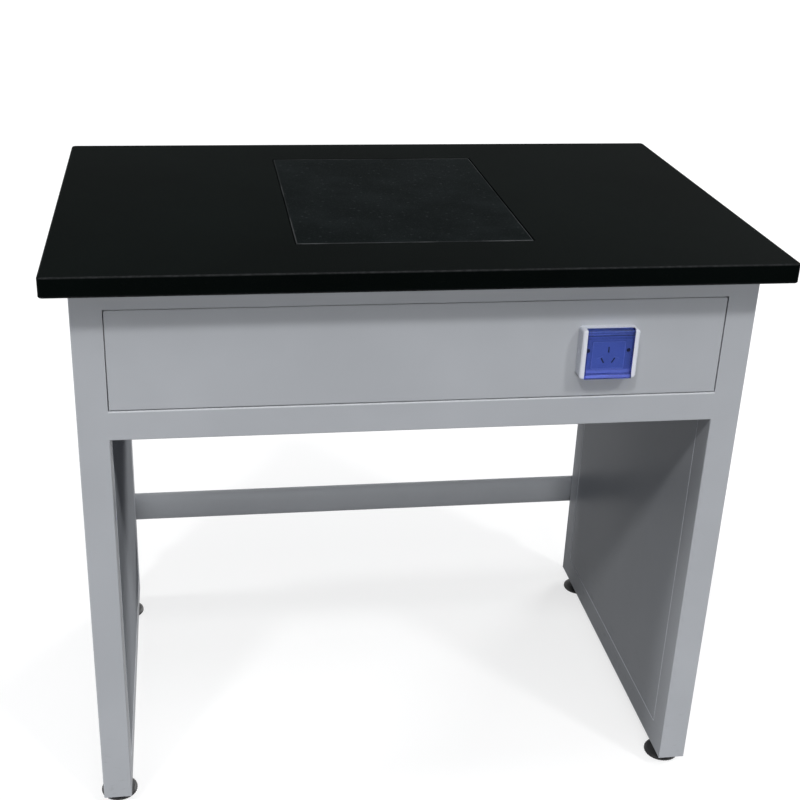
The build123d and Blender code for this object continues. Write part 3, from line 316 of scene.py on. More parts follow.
    def _specks(self) -> bpy.types.NodeTree:
        """Builds scattered specks, such as crystals in stone or spangle in zinc.

        Returns:
            The group.
        """
        board, given, result = self._open(
            "scattered_specks", {"Vector": self.VECTOR, "Scale": self.FLOAT, "Share": self.FLOAT},
            {"Mask": self.FLOAT, "Tone": self.FLOAT})
        cells = board.put("ShaderNodeTexVoronoi", {"Vector": given["Vector"], "Scale": given["Scale"]})
        tone = board.put("ShaderNodeSeparateColor", {0: cells.outputs["Color"]}).outputs[0]
        chosen = board.math("GREATER_THAN", tone, board.math("SUBTRACT", 1.0, given["Share"]))
        heart = board.ramp(cells.outputs["Distance"], 0.55, 0.2)
        board.feed(result.inputs["Mask"], board.math("MULTIPLY", chosen, heart))
        board.feed(result.inputs["Tone"], tone)
        return board.tree


@dataclass(frozen=True)
class Surface:
    """A material in the making: its nodes, its shader, the point on the piece and the shared effects."""

    board: NodeBoard
    shader: bpy.types.Node
    point: bpy.types.NodeSocket
    shelf: EffectShelf

    def colour(self, value: Value) -> None:
        """Feeds the base colour."""
        self.board.feed(self.shader.inputs["Base Color"], value)

    def roughness(self, value: Value) -> None:
        """Feeds the roughness."""
        self.board.feed(self.shader.inputs["Roughness"], value)

    def relief(self, height: Value, depth: float) -> None:
        """Adds a bump whose full height is depth, in metres."""
        bump = self.board.put("ShaderNodeBump", {"Height": height, "Distance": depth, "Strength": 1.0})
        self.board.feed(self.shader.inputs["Normal"], bump.outputs[0])

    def noise(self, scale: float, detail: float) -> bpy.types.NodeSocket:
        """Returns a noise over the piece."""
        return self.board.noise(self.point, scale, detail)

    def _effect(self, group: bpy.types.NodeTree, inputs: dict[str, Value]) -> Outputs:
        """Places a shared effect and returns its outputs."""
        return self.board.put("ShaderNodeGroup", {"Vector": self.point, **inputs}, node_tree=group).outputs

    def drift(self, colour: Colour, scale: float, amount: float) -> Outputs:
        """Returns the Color and the Wander of a slow drift."""
        return self._effect(self.shelf.drift, {"Color": colour, "Scale": scale, "Amount": amount})

    def dust(self, colour: Value, dust: Colour, amount: float) -> Outputs:
        """Returns the Color and the Mask of settled dust."""
        return self._effect(self.shelf.dust, {"Color": colour, "Dust": dust, "Amount": amount})

    def grain(self, scale: float) -> Outputs:
        """Returns the Height and the Unevenness of a fine grain."""
        return self._effect(self.shelf.grain, {"Scale": scale})

    def specks(self, scale: float, share: float) -> Outputs:
        """Returns the Mask and the Tone of scattered specks."""
        return self._effect(self.shelf.specks, {"Scale": scale, "Share": share})

    def lines(self, stretch: Triple, scale: float) -> bpy.types.NodeSocket:
        """Returns the height of drawn lines."""
        return self._effect(self.shelf.drawn, {"Stretch": stretch, "Scale": scale})["Height"]

    def edge_highlight(self, low: Triple, high: Triple, width: Triple, breakup: float, scale: float,
                  seed: float = 0.0) -> bpy.types.NodeSocket:
        """Returns a mask along the edges of a box, for a painted highlight.

        Args:
            low: The box's lowest corner.
            high: The box's highest corner.
            width: How far the wear reaches from an edge, along X, Y and Z.
            breakup: How much of the edge is left out in the worst places.
            scale: How many patches there are to the metre.
            seed: Which patches they are.

        Returns:
            The mask's socket.
        """
        inputs = {"Low": low, "High": high, "Width": width, "Breakup": breakup, "Scale": scale,
                  "Seed": seed}
        return self._effect(self.shelf.highlight_and_fleck, inputs)["Mask"]


# ---- finishes ---------------------------------------------------------------------------------
@dataclass(frozen=True)
class Finish:
    """One surface finish. A subclass paints its colour, gloss and relief."""

    name: str
    colour: Colour
    roughness: float = 0.5
    specular: float = 0.5
    metallic: float = 0.0

    def material(self, shelf: EffectShelf) -> bpy.types.Material:
        """Gives the finish's material, made at its first use.

        Args:
            shelf: The shared effects.

        Returns:
            The material.
        """
        found = bpy.data.materials.get(self.name)
        if found:
            return found
        material = bpy.data.materials.new(self.name)
        material.use_nodes = True
        board = NodeBoard(material.node_tree)
        shader = material.node_tree.nodes["Principled BSDF"]
        board.feed(shader.inputs["Base Color"], self.colour)
        board.feed(shader.inputs["Roughness"], self.roughness)
        board.feed(shader.inputs["Specular IOR Level"], self.specular)
        board.feed(shader.inputs["Metallic"], self.metallic)
        point = board.put("ShaderNodeTexCoord").outputs["Object"]
        self.paint(Surface(board, shader, point, shelf))
        return material

    def paint(self, on: Surface) -> None:
        """Adds what varies over the surface."""
        raise NotImplementedError


@dataclass(frozen=True)
class PowderCoat(Finish):
    """Satin powder coat with a fine orange peel, scuffed a little near the floor, and a painted highlight
    along one edge where its box is given.
    """

    peel_scale: float = 620.0
    peel_depth: float = 0.06 * MM
    drift: float = 0.035
    dust: Colour = (0.47, 0.465, 0.45)
    scuff: Colour = (0.20, 0.20, 0.21)
    scuff_top: float = 0.16
    scuff_full: float = 0.03
    scuff_amount: float = 0.30
    # lip is the colour of a painted highlight along one edge, as where light catches it; the box and width
    # below place it
    lip: Colour = (0.68, 0.70, 0.73)
    highlight_low: Triple = (-FAR, -FAR, -FAR)
    highlight_high: Triple = (FAR, FAR, FAR)
    highlight_width: float = 2.4 * MM

    def paint(self, on: Surface) -> None:
        """Paints the drift, the dust, the scuffs, a painted highlight along the lip and the peel.

        Args:
            on: The material that is painted.
        """
        board = on.board
        drift = on.drift(self.colour, scale=5.5, amount=self.drift)
        dust = on.dust(drift["Color"], self.dust, amount=0.22)
        low_down = board.ramp(board.parts(on.point)["Z"], self.scuff_top, self.scuff_full)
        flattened = board.vector("MULTIPLY", on.point, (1.0, 1.0, 2.6))
        marks = board.ramp(board.noise(flattened, 62.0, detail=6.0), 0.56, 0.72)
        scuffs = board.math("MULTIPLY", board.math("MULTIPLY", low_down, marks), self.scuff_amount)
        scuffed = board.mix(scuffs, dust["Color"], self.scuff)
        # painted highlight: the chosen edge is coloured pale, as where light catches it
        lip = on.edge_highlight(self.highlight_low, self.highlight_high, (self.highlight_width,) * 3, breakup=0.15, scale=160.0)
        on.colour(board.mix(lip, scuffed, self.lip))
        uneven = board.math("MULTIPLY_ADD", drift["Wander"], 0.03, self.roughness)
        dulled = board.math("MULTIPLY_ADD", dust["Mask"], 0.5, uneven)
        on.roughness(board.math("MULTIPLY_ADD", scuffs, 0.5, dulled))
        on.relief(on.grain(self.peel_scale)["Height"], self.peel_depth)


@dataclass(frozen=True)
class LabBoard(Finish):
    """Matt black laboratory board with a fine pebble and a painted highlight along its arrises."""

    low: Triple = (0.0, 0.0, 0.0)
    high: Triple = (1.0, 1.0, 1.0)
    # Pale colour for the flecks, and for the painted highlight along the arrises.
    highlight_and_fleck: Colour = (0.030, 0.031, 0.032)
    arris_width: float = 2.6 * MM
    pebble_scale: float = 900.0
    pebble_depth: float = 0.08 * MM

    def paint(self, on: Surface) -> None:
        """Paints the drift, the flecks, a painted highlight along the arris and the pebble.

        Args:
            on: The material that is painted.
        """
        board = on.board
        drift = on.drift(self.colour, scale=4.0, amount=0.16)
        specks = on.specks(scale=1100.0, share=0.12)
        flecked = board.mix(board.math("MULTIPLY", specks["Mask"], 0.12), drift["Color"], self.highlight_and_fleck)
        # painted highlight: the arrises are coloured paler, as where light catches the rounded edge
        edge = on.edge_highlight(self.low, self.high, (self.arris_width,) * 3, breakup=0.45, scale=160.0)
        on.colour(board.mix(board.math("MULTIPLY", edge, 0.8), flecked, self.highlight_and_fleck))
        grain = on.grain(self.pebble_scale)
        dull = board.math("MULTIPLY_ADD", grain["Unevenness"], 0.05, self.roughness)
        on.roughness(board.math("MULTIPLY_ADD", edge, -0.12, dull))
        on.relief(grain["Height"], self.pebble_depth)


@dataclass(frozen=True)
class HonedStone(Finish):
    """Honed black stone: cloudy, with fine crystals and a painted highlight along its arris."""

    low: Triple = (0.0, 0.0, 0.0)
    high: Triple = (1.0, 1.0, 1.0)
    cloud: Colour = (0.0044, 0.0064, 0.0068)
    crystal: Colour = (0.016, 0.019, 0.020)
    # arris is the colour of a painted highlight along the slab's edges; the width per axis and the seed set
    # which stretches of it show
    arris: Colour = (0.070, 0.073, 0.075)
    arris_width: Triple = (2.0 * MM, 3.2 * MM, 1.6 * MM)
    arris_seed: float = 1.0
    hone_scale: float = 1400.0
    hone_depth: float = 0.03 * MM

    def paint(self, on: Surface) -> None:
        """Paints the clouds, the crystals, a painted highlight along the arris and the marks of honing.

        Args:
            on: The material that is painted.
        """
        board = on.board
        clouds = board.ramp(on.noise(16.0, detail=6.0), 0.35, 0.72)
        cloudy = board.mix(board.math("MULTIPLY", clouds, 0.8), self.colour, self.cloud)
        fine = on.specks(scale=620.0, share=0.30)
        large = on.specks(scale=210.0, share=0.06)
        flecks = board.math("MAXIMUM", board.math("MULTIPLY", fine["Mask"], 0.35),
                            board.math("MULTIPLY", large["Mask"], 0.45))
        speckled = board.mix(flecks, cloudy, self.crystal)
        # painted highlight: patches of the slab's edges are coloured paler, as where light catches them
        edge = on.edge_highlight(self.low, self.high, self.arris_width, breakup=0.8, scale=9.0,
                            seed=self.arris_seed)
        on.colour(board.mix(edge, speckled, self.arris))
        on.roughness(board.math("MULTIPLY_ADD", flecks, -0.25, self.roughness))
        on.relief(on.grain(self.hone_scale)["Height"], self.hone_depth)


@dataclass(frozen=True)
class Rubber(Finish):
    """Dull moulded rubber with a bloom."""

    bloom: Colour = (0.055, 0.055, 0.058)
    texture_scale: float = 1800.0
    texture_depth: float = 0.05 * MM

    def paint(self, on: Surface) -> None:
        """Paints the bloom and the moulded texture.

        Args:
            on: The material that is painted.
        """
        board = on.board
        drift = on.drift(self.colour, scale=40.0, amount=0.2)
        bloom = board.ramp(on.noise(75.0, detail=5.0), 0.45, 0.75, high=0.5)
        on.colour(board.mix(bloom, drift["Color"], self.bloom))
        grain = on.grain(self.texture_scale)
        on.roughness(board.math("MULTIPLY_ADD", grain["Unevenness"], 0.06, self.roughness))
        on.relief(grain["Height"], self.texture_depth)


@dataclass(frozen=True)
class PlatedSteel(Finish):
    """Plated steel with a light spangle, drawn lines and a few dull stains."""

    stain: Colour = (0.34, 0.33, 0.30)
    stretch: Triple = (1.0, 1.0, 9.0)
    line_scale: float = 900.0
    line_depth: float = 0.02 * MM

    def paint(self, on: Surface) -> None:
        """Paints the spangle, the stains and the drawn lines.

        Args:
            on: The material that is painted.
        """
        board = on.board
        spangle = on.specks(scale=700.0, share=0.5)
        bright = board.scaled(self.colour, board.math("MULTIPLY_ADD", spangle["Tone"], 0.22, 0.86))
        stains = board.ramp(on.noise(120.0, detail=5.0), 0.55, 0.75, high=0.6)
        on.colour(board.mix(stains, bright, self.stain))
        on.roughness(board.math("MULTIPLY_ADD", stains, 0.25, self.roughness))
        on.relief(on.lines(self.stretch, self.line_scale), self.line_depth)


@dataclass(frozen=True)
class MouldedPlastic(Finish):
    """Injection-moulded plastic with a fine spark-eroded texture and handling marks."""

    texture_scale: float = 1600.0
    texture_depth: float = 0.02 * MM
    mark: Colour = (0.5, 0.5, 0.5)
    marks: float = 0.10

    def paint(self, on: Surface) -> None:
        """Paints the flow drift, the handling marks and the mould texture.

        Args:
            on: The material that is painted.
        """
        board = on.board
        drift = on.drift(self.colour, scale=28.0, amount=0.03)
        handled = board.ramp(on.noise(95.0, detail=6.0), 0.5, 0.8, high=self.marks)
        dust = on.dust(drift["Color"], self.mark, amount=0.15)
        on.colour(board.mix(handled, dust["Color"], self.mark))
        grain = on.grain(self.texture_scale)
        dull = board.math("MULTIPLY_ADD", grain["Unevenness"], 0.04, self.roughness)
        on.roughness(board.math("ADD", dull, handled))
        on.relief(grain["Height"], self.texture_depth)


@dataclass(frozen=True)
class ClearTint(Finish):
    """Clear tinted plastic with hairline scratches, with painted light low down and painted shade along its
    sides and hem.
    """

    low: Triple = (0.0, 0.0, 0.0)
    high: Triple = (1.0, 1.0, 1.0)
    # pale is painted light: a paler band low down where the lid catches light. deep is painted shade along
    # the lid's sides and lower hem.
    pale: Colour = (0.38, 0.44, 0.80)
    deep: Colour = (0.09, 0.13, 0.46)
    light_band_height: float = 13.5 * MM
    light_band_blur: float = 3.0 * MM
    side_shade_width: float = 1.6 * MM
    hem_height: float = 1.3 * MM
    hem_full: float = 0.8 * MM
    ior: float = 1.22
    scratch_scale: float = 2600.0
    wave_depth: float = 0.03 * MM

    def paint(self, on: Surface) -> None:
        """Paints the uneven tint, its painted light at the foot and painted shade along the sides and hem,
        the scratches and a slight wave.

        Args:
            on: The material that is painted.
        """
        board, shader = on.board, on.shader
        board.feed(shader.inputs["Transmission Weight"], 1.0)
        board.feed(shader.inputs["IOR"], self.ior)
        drift = on.drift(self.colour, scale=45.0, amount=0.03)
        place = board.parts(on.point)
        foot = self.low[2]
        light_band_top = foot + self.light_band_height
        # painted light: the tint turns paler towards the foot
        painted_light_band = board.ramp(place["Z"], light_band_top, light_band_top - self.light_band_blur)
        tint = board.mix(painted_light_band, drift["Color"], self.pale)
        middle, half = (self.low[0] + self.high[0]) / 2, (self.high[0] - self.low[0]) / 2
        aside = board.math("ABSOLUTE", board.math("SUBTRACT", place["X"], middle))
        # painted shade: deeper tint along both sides and the lower hem
        sides = board.ramp(aside, half - self.side_shade_width, half - self.side_shade_width * 0.6)
        hem = board.ramp(place["Z"], foot + self.hem_height, foot + self.hem_full)
        on.colour(board.mix(board.math("MAXIMUM", sides, hem), tint, self.deep))
        scratch = board.ramp(on.lines((1.0, 1.0, 0.05), self.scratch_scale), 0.62, 0.72, high=0.16)
        on.roughness(board.math("ADD", scratch, self.roughness))
        on.relief(on.noise(90.0, detail=2.0), self.wave_depth)


@dataclass(frozen=True)
class CableSheath(Finish):
    """Extruded cable sheath with fine lines along the lead."""

    dust: Colour = (0.30, 0.29, 0.27)
    stretch: Triple = (1.0, 0.04, 1.0)
    line_scale: float = 1500.0
    line_depth: float = 0.03 * MM

    def paint(self, on: Surface) -> None:
        """Paints the sheath's drift, its dust and its extrusion lines.

        Args:
            on: The material that is painted.
        """
        drift = on.drift(self.colour, scale=30.0, amount=0.05)
        on.colour(on.dust(drift["Color"], self.dust, amount=0.3)["Color"])
        lines = on.lines(self.stretch, self.line_scale)
        on.roughness(on.board.math("MULTIPLY_ADD", lines, 0.1, self.roughness))
        on.relief(lines, self.line_depth)


class FinishBook:
    """Every finish of the table, by the name of its material slot."""

    def __init__(self) -> None:
        """Makes the shared effects and the finishes."""
        self.shelf = EffectShelf()
        top_low, top_high = (tuple(corner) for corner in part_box("worktop"))
        slab_low, slab_high = (tuple(corner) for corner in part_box("balance_slab"))
        lid_low, lid_high = (tuple(corner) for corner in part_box("socket_lid"))
        rail_low, rail_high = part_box("front_lower_rail")
        self.finishes: dict[str, Finish] = {
            "powder_coat": PowderCoat("light_grey_powder_coat", COAT, 0.38, 0.05),
            # The lower rail's front top edge takes a painted highlight, just below the gap under the front
            # panel.
            "powder_coat_painted_highlight": PowderCoat("light_grey_powder_coat_painted_highlight", COAT, 0.38, 0.05,
                                          highlight_low=(-FAR, rail_low.y, -FAR),
                                          highlight_high=(FAR, FAR, rail_high.z)),
            "powder_coat_matt": PowderCoat("light_grey_powder_coat_matt", COAT, 0.38, 0.0),
            # Painted highlight: the pale colour of the beads at the skins' joints stands in for light
            # catching the joints.
            "seam_bead_highlight": PowderCoat("pale_seam_bead_painted_highlight", (0.76, 0.79, 0.83), 0.4, 0.1,
                                      scuff=(0.5, 0.5, 0.5)),
            "worktop_black": LabBoard("black_laboratory_board", (0.0016, 0.0026, 0.0024), 0.55, 0.0034,
                                      low=top_low, high=top_high),
            "granite": HonedStone("honed_black_stone", (0.0014, 0.0027, 0.0028), 0.5, 0.003,
                                  low=slab_low, high=slab_high),
            "rubber": Rubber("moulded_black_rubber", (0.018, 0.018, 0.019), 0.75, 0.3),
            "zinc_steel": PlatedSteel("zinc_plated_steel", (0.60, 0.61, 0.62), 0.34, metallic=1.0),
            # Blackened steel for the socket's screws, dark enough to stand in for the shade of their recessed
            # wells: painted shade.
            "black_steel": PlatedSteel("blackened_steel_painted_shade", (0.05, 0.05, 0.055), 0.42, metallic=1.0,
                                       stain=(0.03, 0.03, 0.03)),
            "black_plastic": MouldedPlastic("black_moulded_plastic", (0.016, 0.016, 0.017), 0.45, 0.4,
                                            mark=(0.07, 0.07, 0.07), marks=0.2,
                                            texture_depth=0.04 * MM),
            "white_plastic": MouldedPlastic("white_moulded_plastic", (0.68, 0.70, 0.765), 0.28, 0.25,
                                            mark=(0.45, 0.45, 0.44)),
            # Painted shade: a darker, bluer copy of the white plastic for the faceplate and module behind the
            # lid.
            "white_plastic_painted_shade": MouldedPlastic("white_moulded_plastic_painted_shade", (0.45, 0.49, 0.58),
                                                   0.35, 0.25, mark=(0.38, 0.38, 0.38)),
            "grey_plastic": MouldedPlastic("grey_moulded_plastic", (0.33, 0.34, 0.35), 0.4,
                                           mark=(0.22, 0.22, 0.22), texture_depth=0.03 * MM),
            "blue_clear": ClearTint("clear_blue_plastic", (0.24, 0.315, 0.64), 0.04,
                                    low=lid_low, high=lid_high),
            "brass": PlatedSteel("bare_brass", (0.72, 0.52, 0.24), 0.3, metallic=1.0,
                                 stain=(0.42, 0.28, 0.12)),
            "lead_sheath": CableSheath("pale_cable_sheath", (0.55, 0.55, 0.54), 0.45),
        }

    def of(self, slot: str) -> bpy.types.Material:
        """Returns the material of a slot."""
        return self.finishes[slot].material(self.shelf)


# ---- meshes -----------------------------------------------------------------------------------
@dataclass(frozen=True)
class Solid:
    """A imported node, or one loose solid of it, by its box."""

    low: Vector
    high: Vector

    @property
    def centre(self) -> Vector:
        """The middle of the box."""
        return (self.low + self.high) / 2

    @property
    def foot(self) -> Vector:
        """The middle of the underside."""
        return Vector((self.centre.x, self.centre.y, self.low.z))

    @property
    def crown(self) -> Vector:
        """The middle of the top side."""
        return Vector((self.centre.x, self.centre.y, self.high.z))

    def face(self, way: Vector) -> Vector:
        """Returns the middle of the side that looks a given way."""
        half = (self.high - self.low) / 2
        return self.centre + Vector(half[i] * way[i] for i in range(3))

    def length(self, way: Vector) -> float:
        """Returns the box's length along a given way."""
        return sum(abs((self.high - self.low)[i] * way[i]) for i in range(3))


def box_of(node: str) -> Solid:
    """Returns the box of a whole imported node."""
    return Solid(*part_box(node))


def solids_of(node: str) -> list[Solid]:
    """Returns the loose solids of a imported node, in order of place.

    Args:
        node: The node's name.

    Returns:
        One box for each solid.
    """
    work = bmesh.new()
    work.from_mesh(frame["nodes"][node].data)
    bmesh.ops.remove_doubles(work, verts=work.verts, dist=SAME_POINT)
    waiting = set(work.verts)
    found = []
    while waiting:
        island = [waiting.pop()]
        for vertex in island:
            for edge in vertex.link_edges:
                other = edge.other_vert(vertex)
                if other in waiting:
                    waiting.remove(other)
                    island.append(other)
        low = Vector(min(v.co[i] for v in island) for i in range(3))
        high = Vector(max(v.co[i] for v in island) for i in range(3))
        found.append(Solid(low, high))
    work.free()
    return sorted(found, key=lambda solid: tuple(round(x, 5) for x in solid.centre))


def turned_mesh(name: str, profile: Profile, steps: int) -> bpy.types.Mesh:
    """Turns a profile round the Z axis into a closed mesh.

    Args:
        name: The mesh's name.
        profile: Radius and height pairs. A profile that doesn't begin and end on the axis is a ring.
        steps: How many faces go round.

    Returns:
        The mesh, its faces outward.
    """
    work = bmesh.new()
    angles = [2 * math.pi * k / steps for k in range(steps)]
    rings = []
    for radius, height in profile:
        if radius < SAME_POINT:
            rings.append([work.verts.new((0.0, 0.0, height))])
            continue
        rings.append([work.verts.new((radius * math.cos(a), radius * math.sin(a), height)) for a in angles])
    pairs = list(zip(rings, rings[1:]))
    if len(rings[0]) > 1:
        pairs.append((rings[-1], rings[0]))
    for first, second in pairs:
        for k in range(steps):
            corners = [first[k % len(first)], first[(k + 1) % len(first)],
                       second[(k + 1) % len(second)], second[k % len(second)]]
            work.faces.new(list(dict.fromkeys(corners)))
    bmesh.ops.recalc_face_normals(work, faces=work.faces)
    return mesh_from(name, work)


def mesh_from(name: str, work: bmesh.types.BMesh) -> bpy.types.Mesh:
    """Ends the work on a bmesh.

    Args:
        name: The mesh's name.
        work: The bmesh, which is freed.

    Returns:
        The plain mesh.
    """
    mesh = bpy.data.meshes.new(name)
    work.to_mesh(mesh)
    work.free()
    return mesh


def point_mesh(name: str, places: Iterable[tuple[Vector, Vector]]) -> bpy.types.Mesh:
    """Makes a mesh of loose points, each with the way that it faces.

    Args:
        name: The mesh's name.
        places: A point and a direction for each vertex.

    Returns:
        The mesh, with a vector attribute named facing.
    """
    places = list(places)
    mesh = bpy.data.meshes.new(name)
    mesh.from_pydata([tuple(point) for point, _ in places], [], [])
    facing = mesh.attributes.new("facing", "FLOAT_VECTOR", "POINT")
    facing.data.foreach_set("vector", [x for _, way in places for x in way])
    return mesh


def path_mesh(name: str, paths: Iterable[Sequence[Vector]], closed: bool) -> bpy.types.Mesh:
    """Makes a mesh of edges along several paths.

    Args:
        name: The mesh's name.
        paths: The points of each path.
        closed: Whether each path returns to its first point.

    Returns:
        The mesh.
    """
    points, edges = [], []
    for path in paths:
        first = len(points)
        points += [tuple(point) for point in path]
        edges += [(first + k, first + k + 1) for k in range(len(path) - 1)]
        if closed:
            edges.append((first + len(path) - 1, first))
    mesh = bpy.data.meshes.new(name)
    mesh.from_pydata(points, edges, [])
    return mesh


def smooth(mesh: bpy.types.Mesh) -> None:
    """Shades a mesh smooth between its sharp edges."""
    mesh.shade_smooth()
    mesh.set_sharp_from_angle(angle=SMOOTH_ANGLE)


# ---- grown hardware ---------------------------------------------------------------------------
class GrowingTree:
    """A Geometry Nodes tree with named inputs, and the call that turns it into a plain mesh."""

    def __init__(self, name: str) -> None:
        """Starts the tree with its geometry and material inputs.

        Args:
            name: The tree's name.
        """
        self.tree = bpy.data.node_groups.new(name, "GeometryNodeTree")
        self.board = NodeBoard(self.tree)
        sockets = self.tree.interface
        sockets.new_socket(name="Geometry", in_out="INPUT", socket_type="NodeSocketGeometry")
        sockets.new_socket(name="Material", in_out="INPUT", socket_type="NodeSocketMaterial")
        sockets.new_socket(name="Geometry", in_out="OUTPUT", socket_type="NodeSocketGeometry")
        self.given = self.tree.nodes.new("NodeGroupInput").outputs
        self.result = self.tree.nodes.new("NodeGroupOutput")

    def size(self, name: str, default: float | int) -> bpy.types.NodeSocket:
        """Adds a named number to the tree's inputs.

        Args:
            name: The input's name.
            default: Its value where none is given. A whole number makes a whole-number input.

        Returns:
            The input's socket.
        """
        kind = "NodeSocketInt" if isinstance(default, int) else "NodeSocketFloat"
        self.tree.interface.new_socket(name=name, in_out="INPUT", socket_type=kind).default_value = default
        return self.given[name]

    def join(self, *parts: bpy.types.NodeSocket) -> bpy.types.NodeSocket:
        """Joins several geometries.

        Args:
            parts: The geometries.

        Returns:
            All of them as one.
        """
        node = self.board.put("GeometryNodeJoinGeometry")
        for part in parts:
            self.board.feed(node.inputs[0], part)
        return node.outputs[0]

    def moved(self, geometry: bpy.types.NodeSocket, height: Value) -> bpy.types.NodeSocket:
        """Returns a geometry lifted along Z."""
        lift = self.board.whole(z=height)
        return self.board.put("GeometryNodeTransform", {"Geometry": geometry, "Translation": lift}).outputs[0]

    def post(self, sides: Value, radius: Value, bottom: Value, height: Value) -> bpy.types.NodeSocket:
        """Makes a plain closed post.

        Args:
            sides: How many sides it has.
            radius: Its radius over the corners.
            bottom: The height of its foot.
            height: Its whole height.

        Returns:
            The post's geometry.
        """
        sizes = {"Vertices": sides, "Radius": radius, "Depth": height}
        body = self.board.put("GeometryNodeMeshCylinder", sizes, fill_type="NGON").outputs["Mesh"]
        return self.moved(body, self.board.math("MULTIPLY_ADD", height, 0.5, bottom))

    def chamfered_post(self, sides: Value, radius: Value, bottom: Value, height: Value, chamfer: Value,
                       both_ends: bool) -> bpy.types.NodeSocket:
        """Makes a post with chamfered ends.

        Args:
            sides: How many sides it has.
            radius: Its radius over the corners.
            bottom: The height of its foot.
            height: Its whole height.
            chamfer: The size of the chamfer.
            both_ends: Whether the foot is chamfered too.

        Returns:
            The post's geometry.
        """
        board = self.board
        ends = ("Top", "Bottom") if both_ends else ("Top",)
        straight = board.math("MULTIPLY_ADD", chamfer, -float(len(ends)), height)
        sizes = {"Vertices": sides, "Radius": radius, "Depth": straight}
        body = board.put("GeometryNodeMeshCylinder", sizes, fill_type="NGON").outputs
        shape = body["Mesh"]
        share = board.math("DIVIDE", board.math("SUBTRACT", radius, chamfer), radius)
        for end in ends:
            raised = board.put("GeometryNodeExtrudeMesh",
                               {"Mesh": shape, "Selection": body[end], "Offset Scale": chamfer,
                                "Individual": False}).outputs
            shape = board.put("GeometryNodeScaleElements",
                              {"Geometry": raised["Mesh"], "Selection": raised["Top"],
                               "Scale": share}).outputs[0]
        foot = board.math("ADD", bottom, chamfer) if both_ends else bottom
        return self.moved(shape, board.math("MULTIPLY_ADD", straight, 0.5, foot))

    def on_points(self, part: bpy.types.NodeSocket, seed: Value) -> bpy.types.NodeSocket:
        """Puts a part on each given point, its Z along facing and turned by chance.

        Args:
            part: The part's geometry.
            seed: The seed of the turning.

        Returns:
            The instances.
        """
        board = self.board
        facing = board.put("GeometryNodeInputNamedAttribute", {"Name": "facing"}, data_type="FLOAT_VECTOR")
        aimed = board.put("FunctionNodeAlignRotationToVector", {"Vector": facing.outputs[0]}, axis="Z")
        chance = board.put("FunctionNodeRandomValue", {2: 0.0, 3: 2 * math.pi, "Seed": seed},
                           data_type="FLOAT")
        turn = board.put("FunctionNodeAxisAngleToRotation",
                         {"Axis": (0.0, 0.0, 1.0), "Angle": chance.outputs[1]})
        spun = board.put("FunctionNodeRotateRotation",
                         {"Rotation": aimed.outputs[0], "Rotate By": turn.outputs[0]}, rotation_space="LOCAL")
        return board.put("GeometryNodeInstanceOnPoints",
                         {"Points": self.given["Geometry"], "Instance": part,
                          "Rotation": spun.outputs[0]}).outputs[0]

    def close(self, geometry: bpy.types.NodeSocket) -> None:
        """Ends the tree: the instances are made real and take the material.

        Args:
            geometry: All that the tree has made.
        """
        real = self.board.put("GeometryNodeRealizeInstances", {0: geometry}).outputs[0]
        dressed = self.board.put("GeometryNodeSetMaterial",
                                 {"Geometry": real, "Material": self.given["Material"]}).outputs[0]
        self.board.feed(self.result.inputs[0], dressed)

    def grow(self, name: str, seed_mesh: bpy.types.Mesh, material: bpy.types.Material,
             sizes: Sizes) -> bpy.types.Object:
        """Grows one piece and leaves it as a plain mesh.

        Args:
            name: The piece's name.
            seed_mesh: The points, edges or body that the tree works on.
            material: The piece's material.
            sizes: A value for each named input.

        Returns:
            The piece.
        """
        piece = bpy.data.objects.new(name, seed_mesh)
        bpy.context.scene.collection.objects.link(piece)
        modifier = piece.modifiers.new("grow", "NODES")
        modifier.node_group = self.tree
        keys = {item.name: item.identifier for item in self.tree.interface.items_tree
                if item.item_type == "SOCKET" and item.in_out == "INPUT"}
        modifier[keys["Material"]] = material
        for label, value in sizes.items():
            modifier[keys[label]] = value
        bpy.context.view_layer.update()
        whole = piece.evaluated_get(bpy.context.evaluated_depsgraph_get())
        mesh = bpy.data.meshes.new_from_object(whole)
        mesh.name = name
        piece.modifiers.clear()
        piece.data = mesh
        smooth(mesh)
        return piece


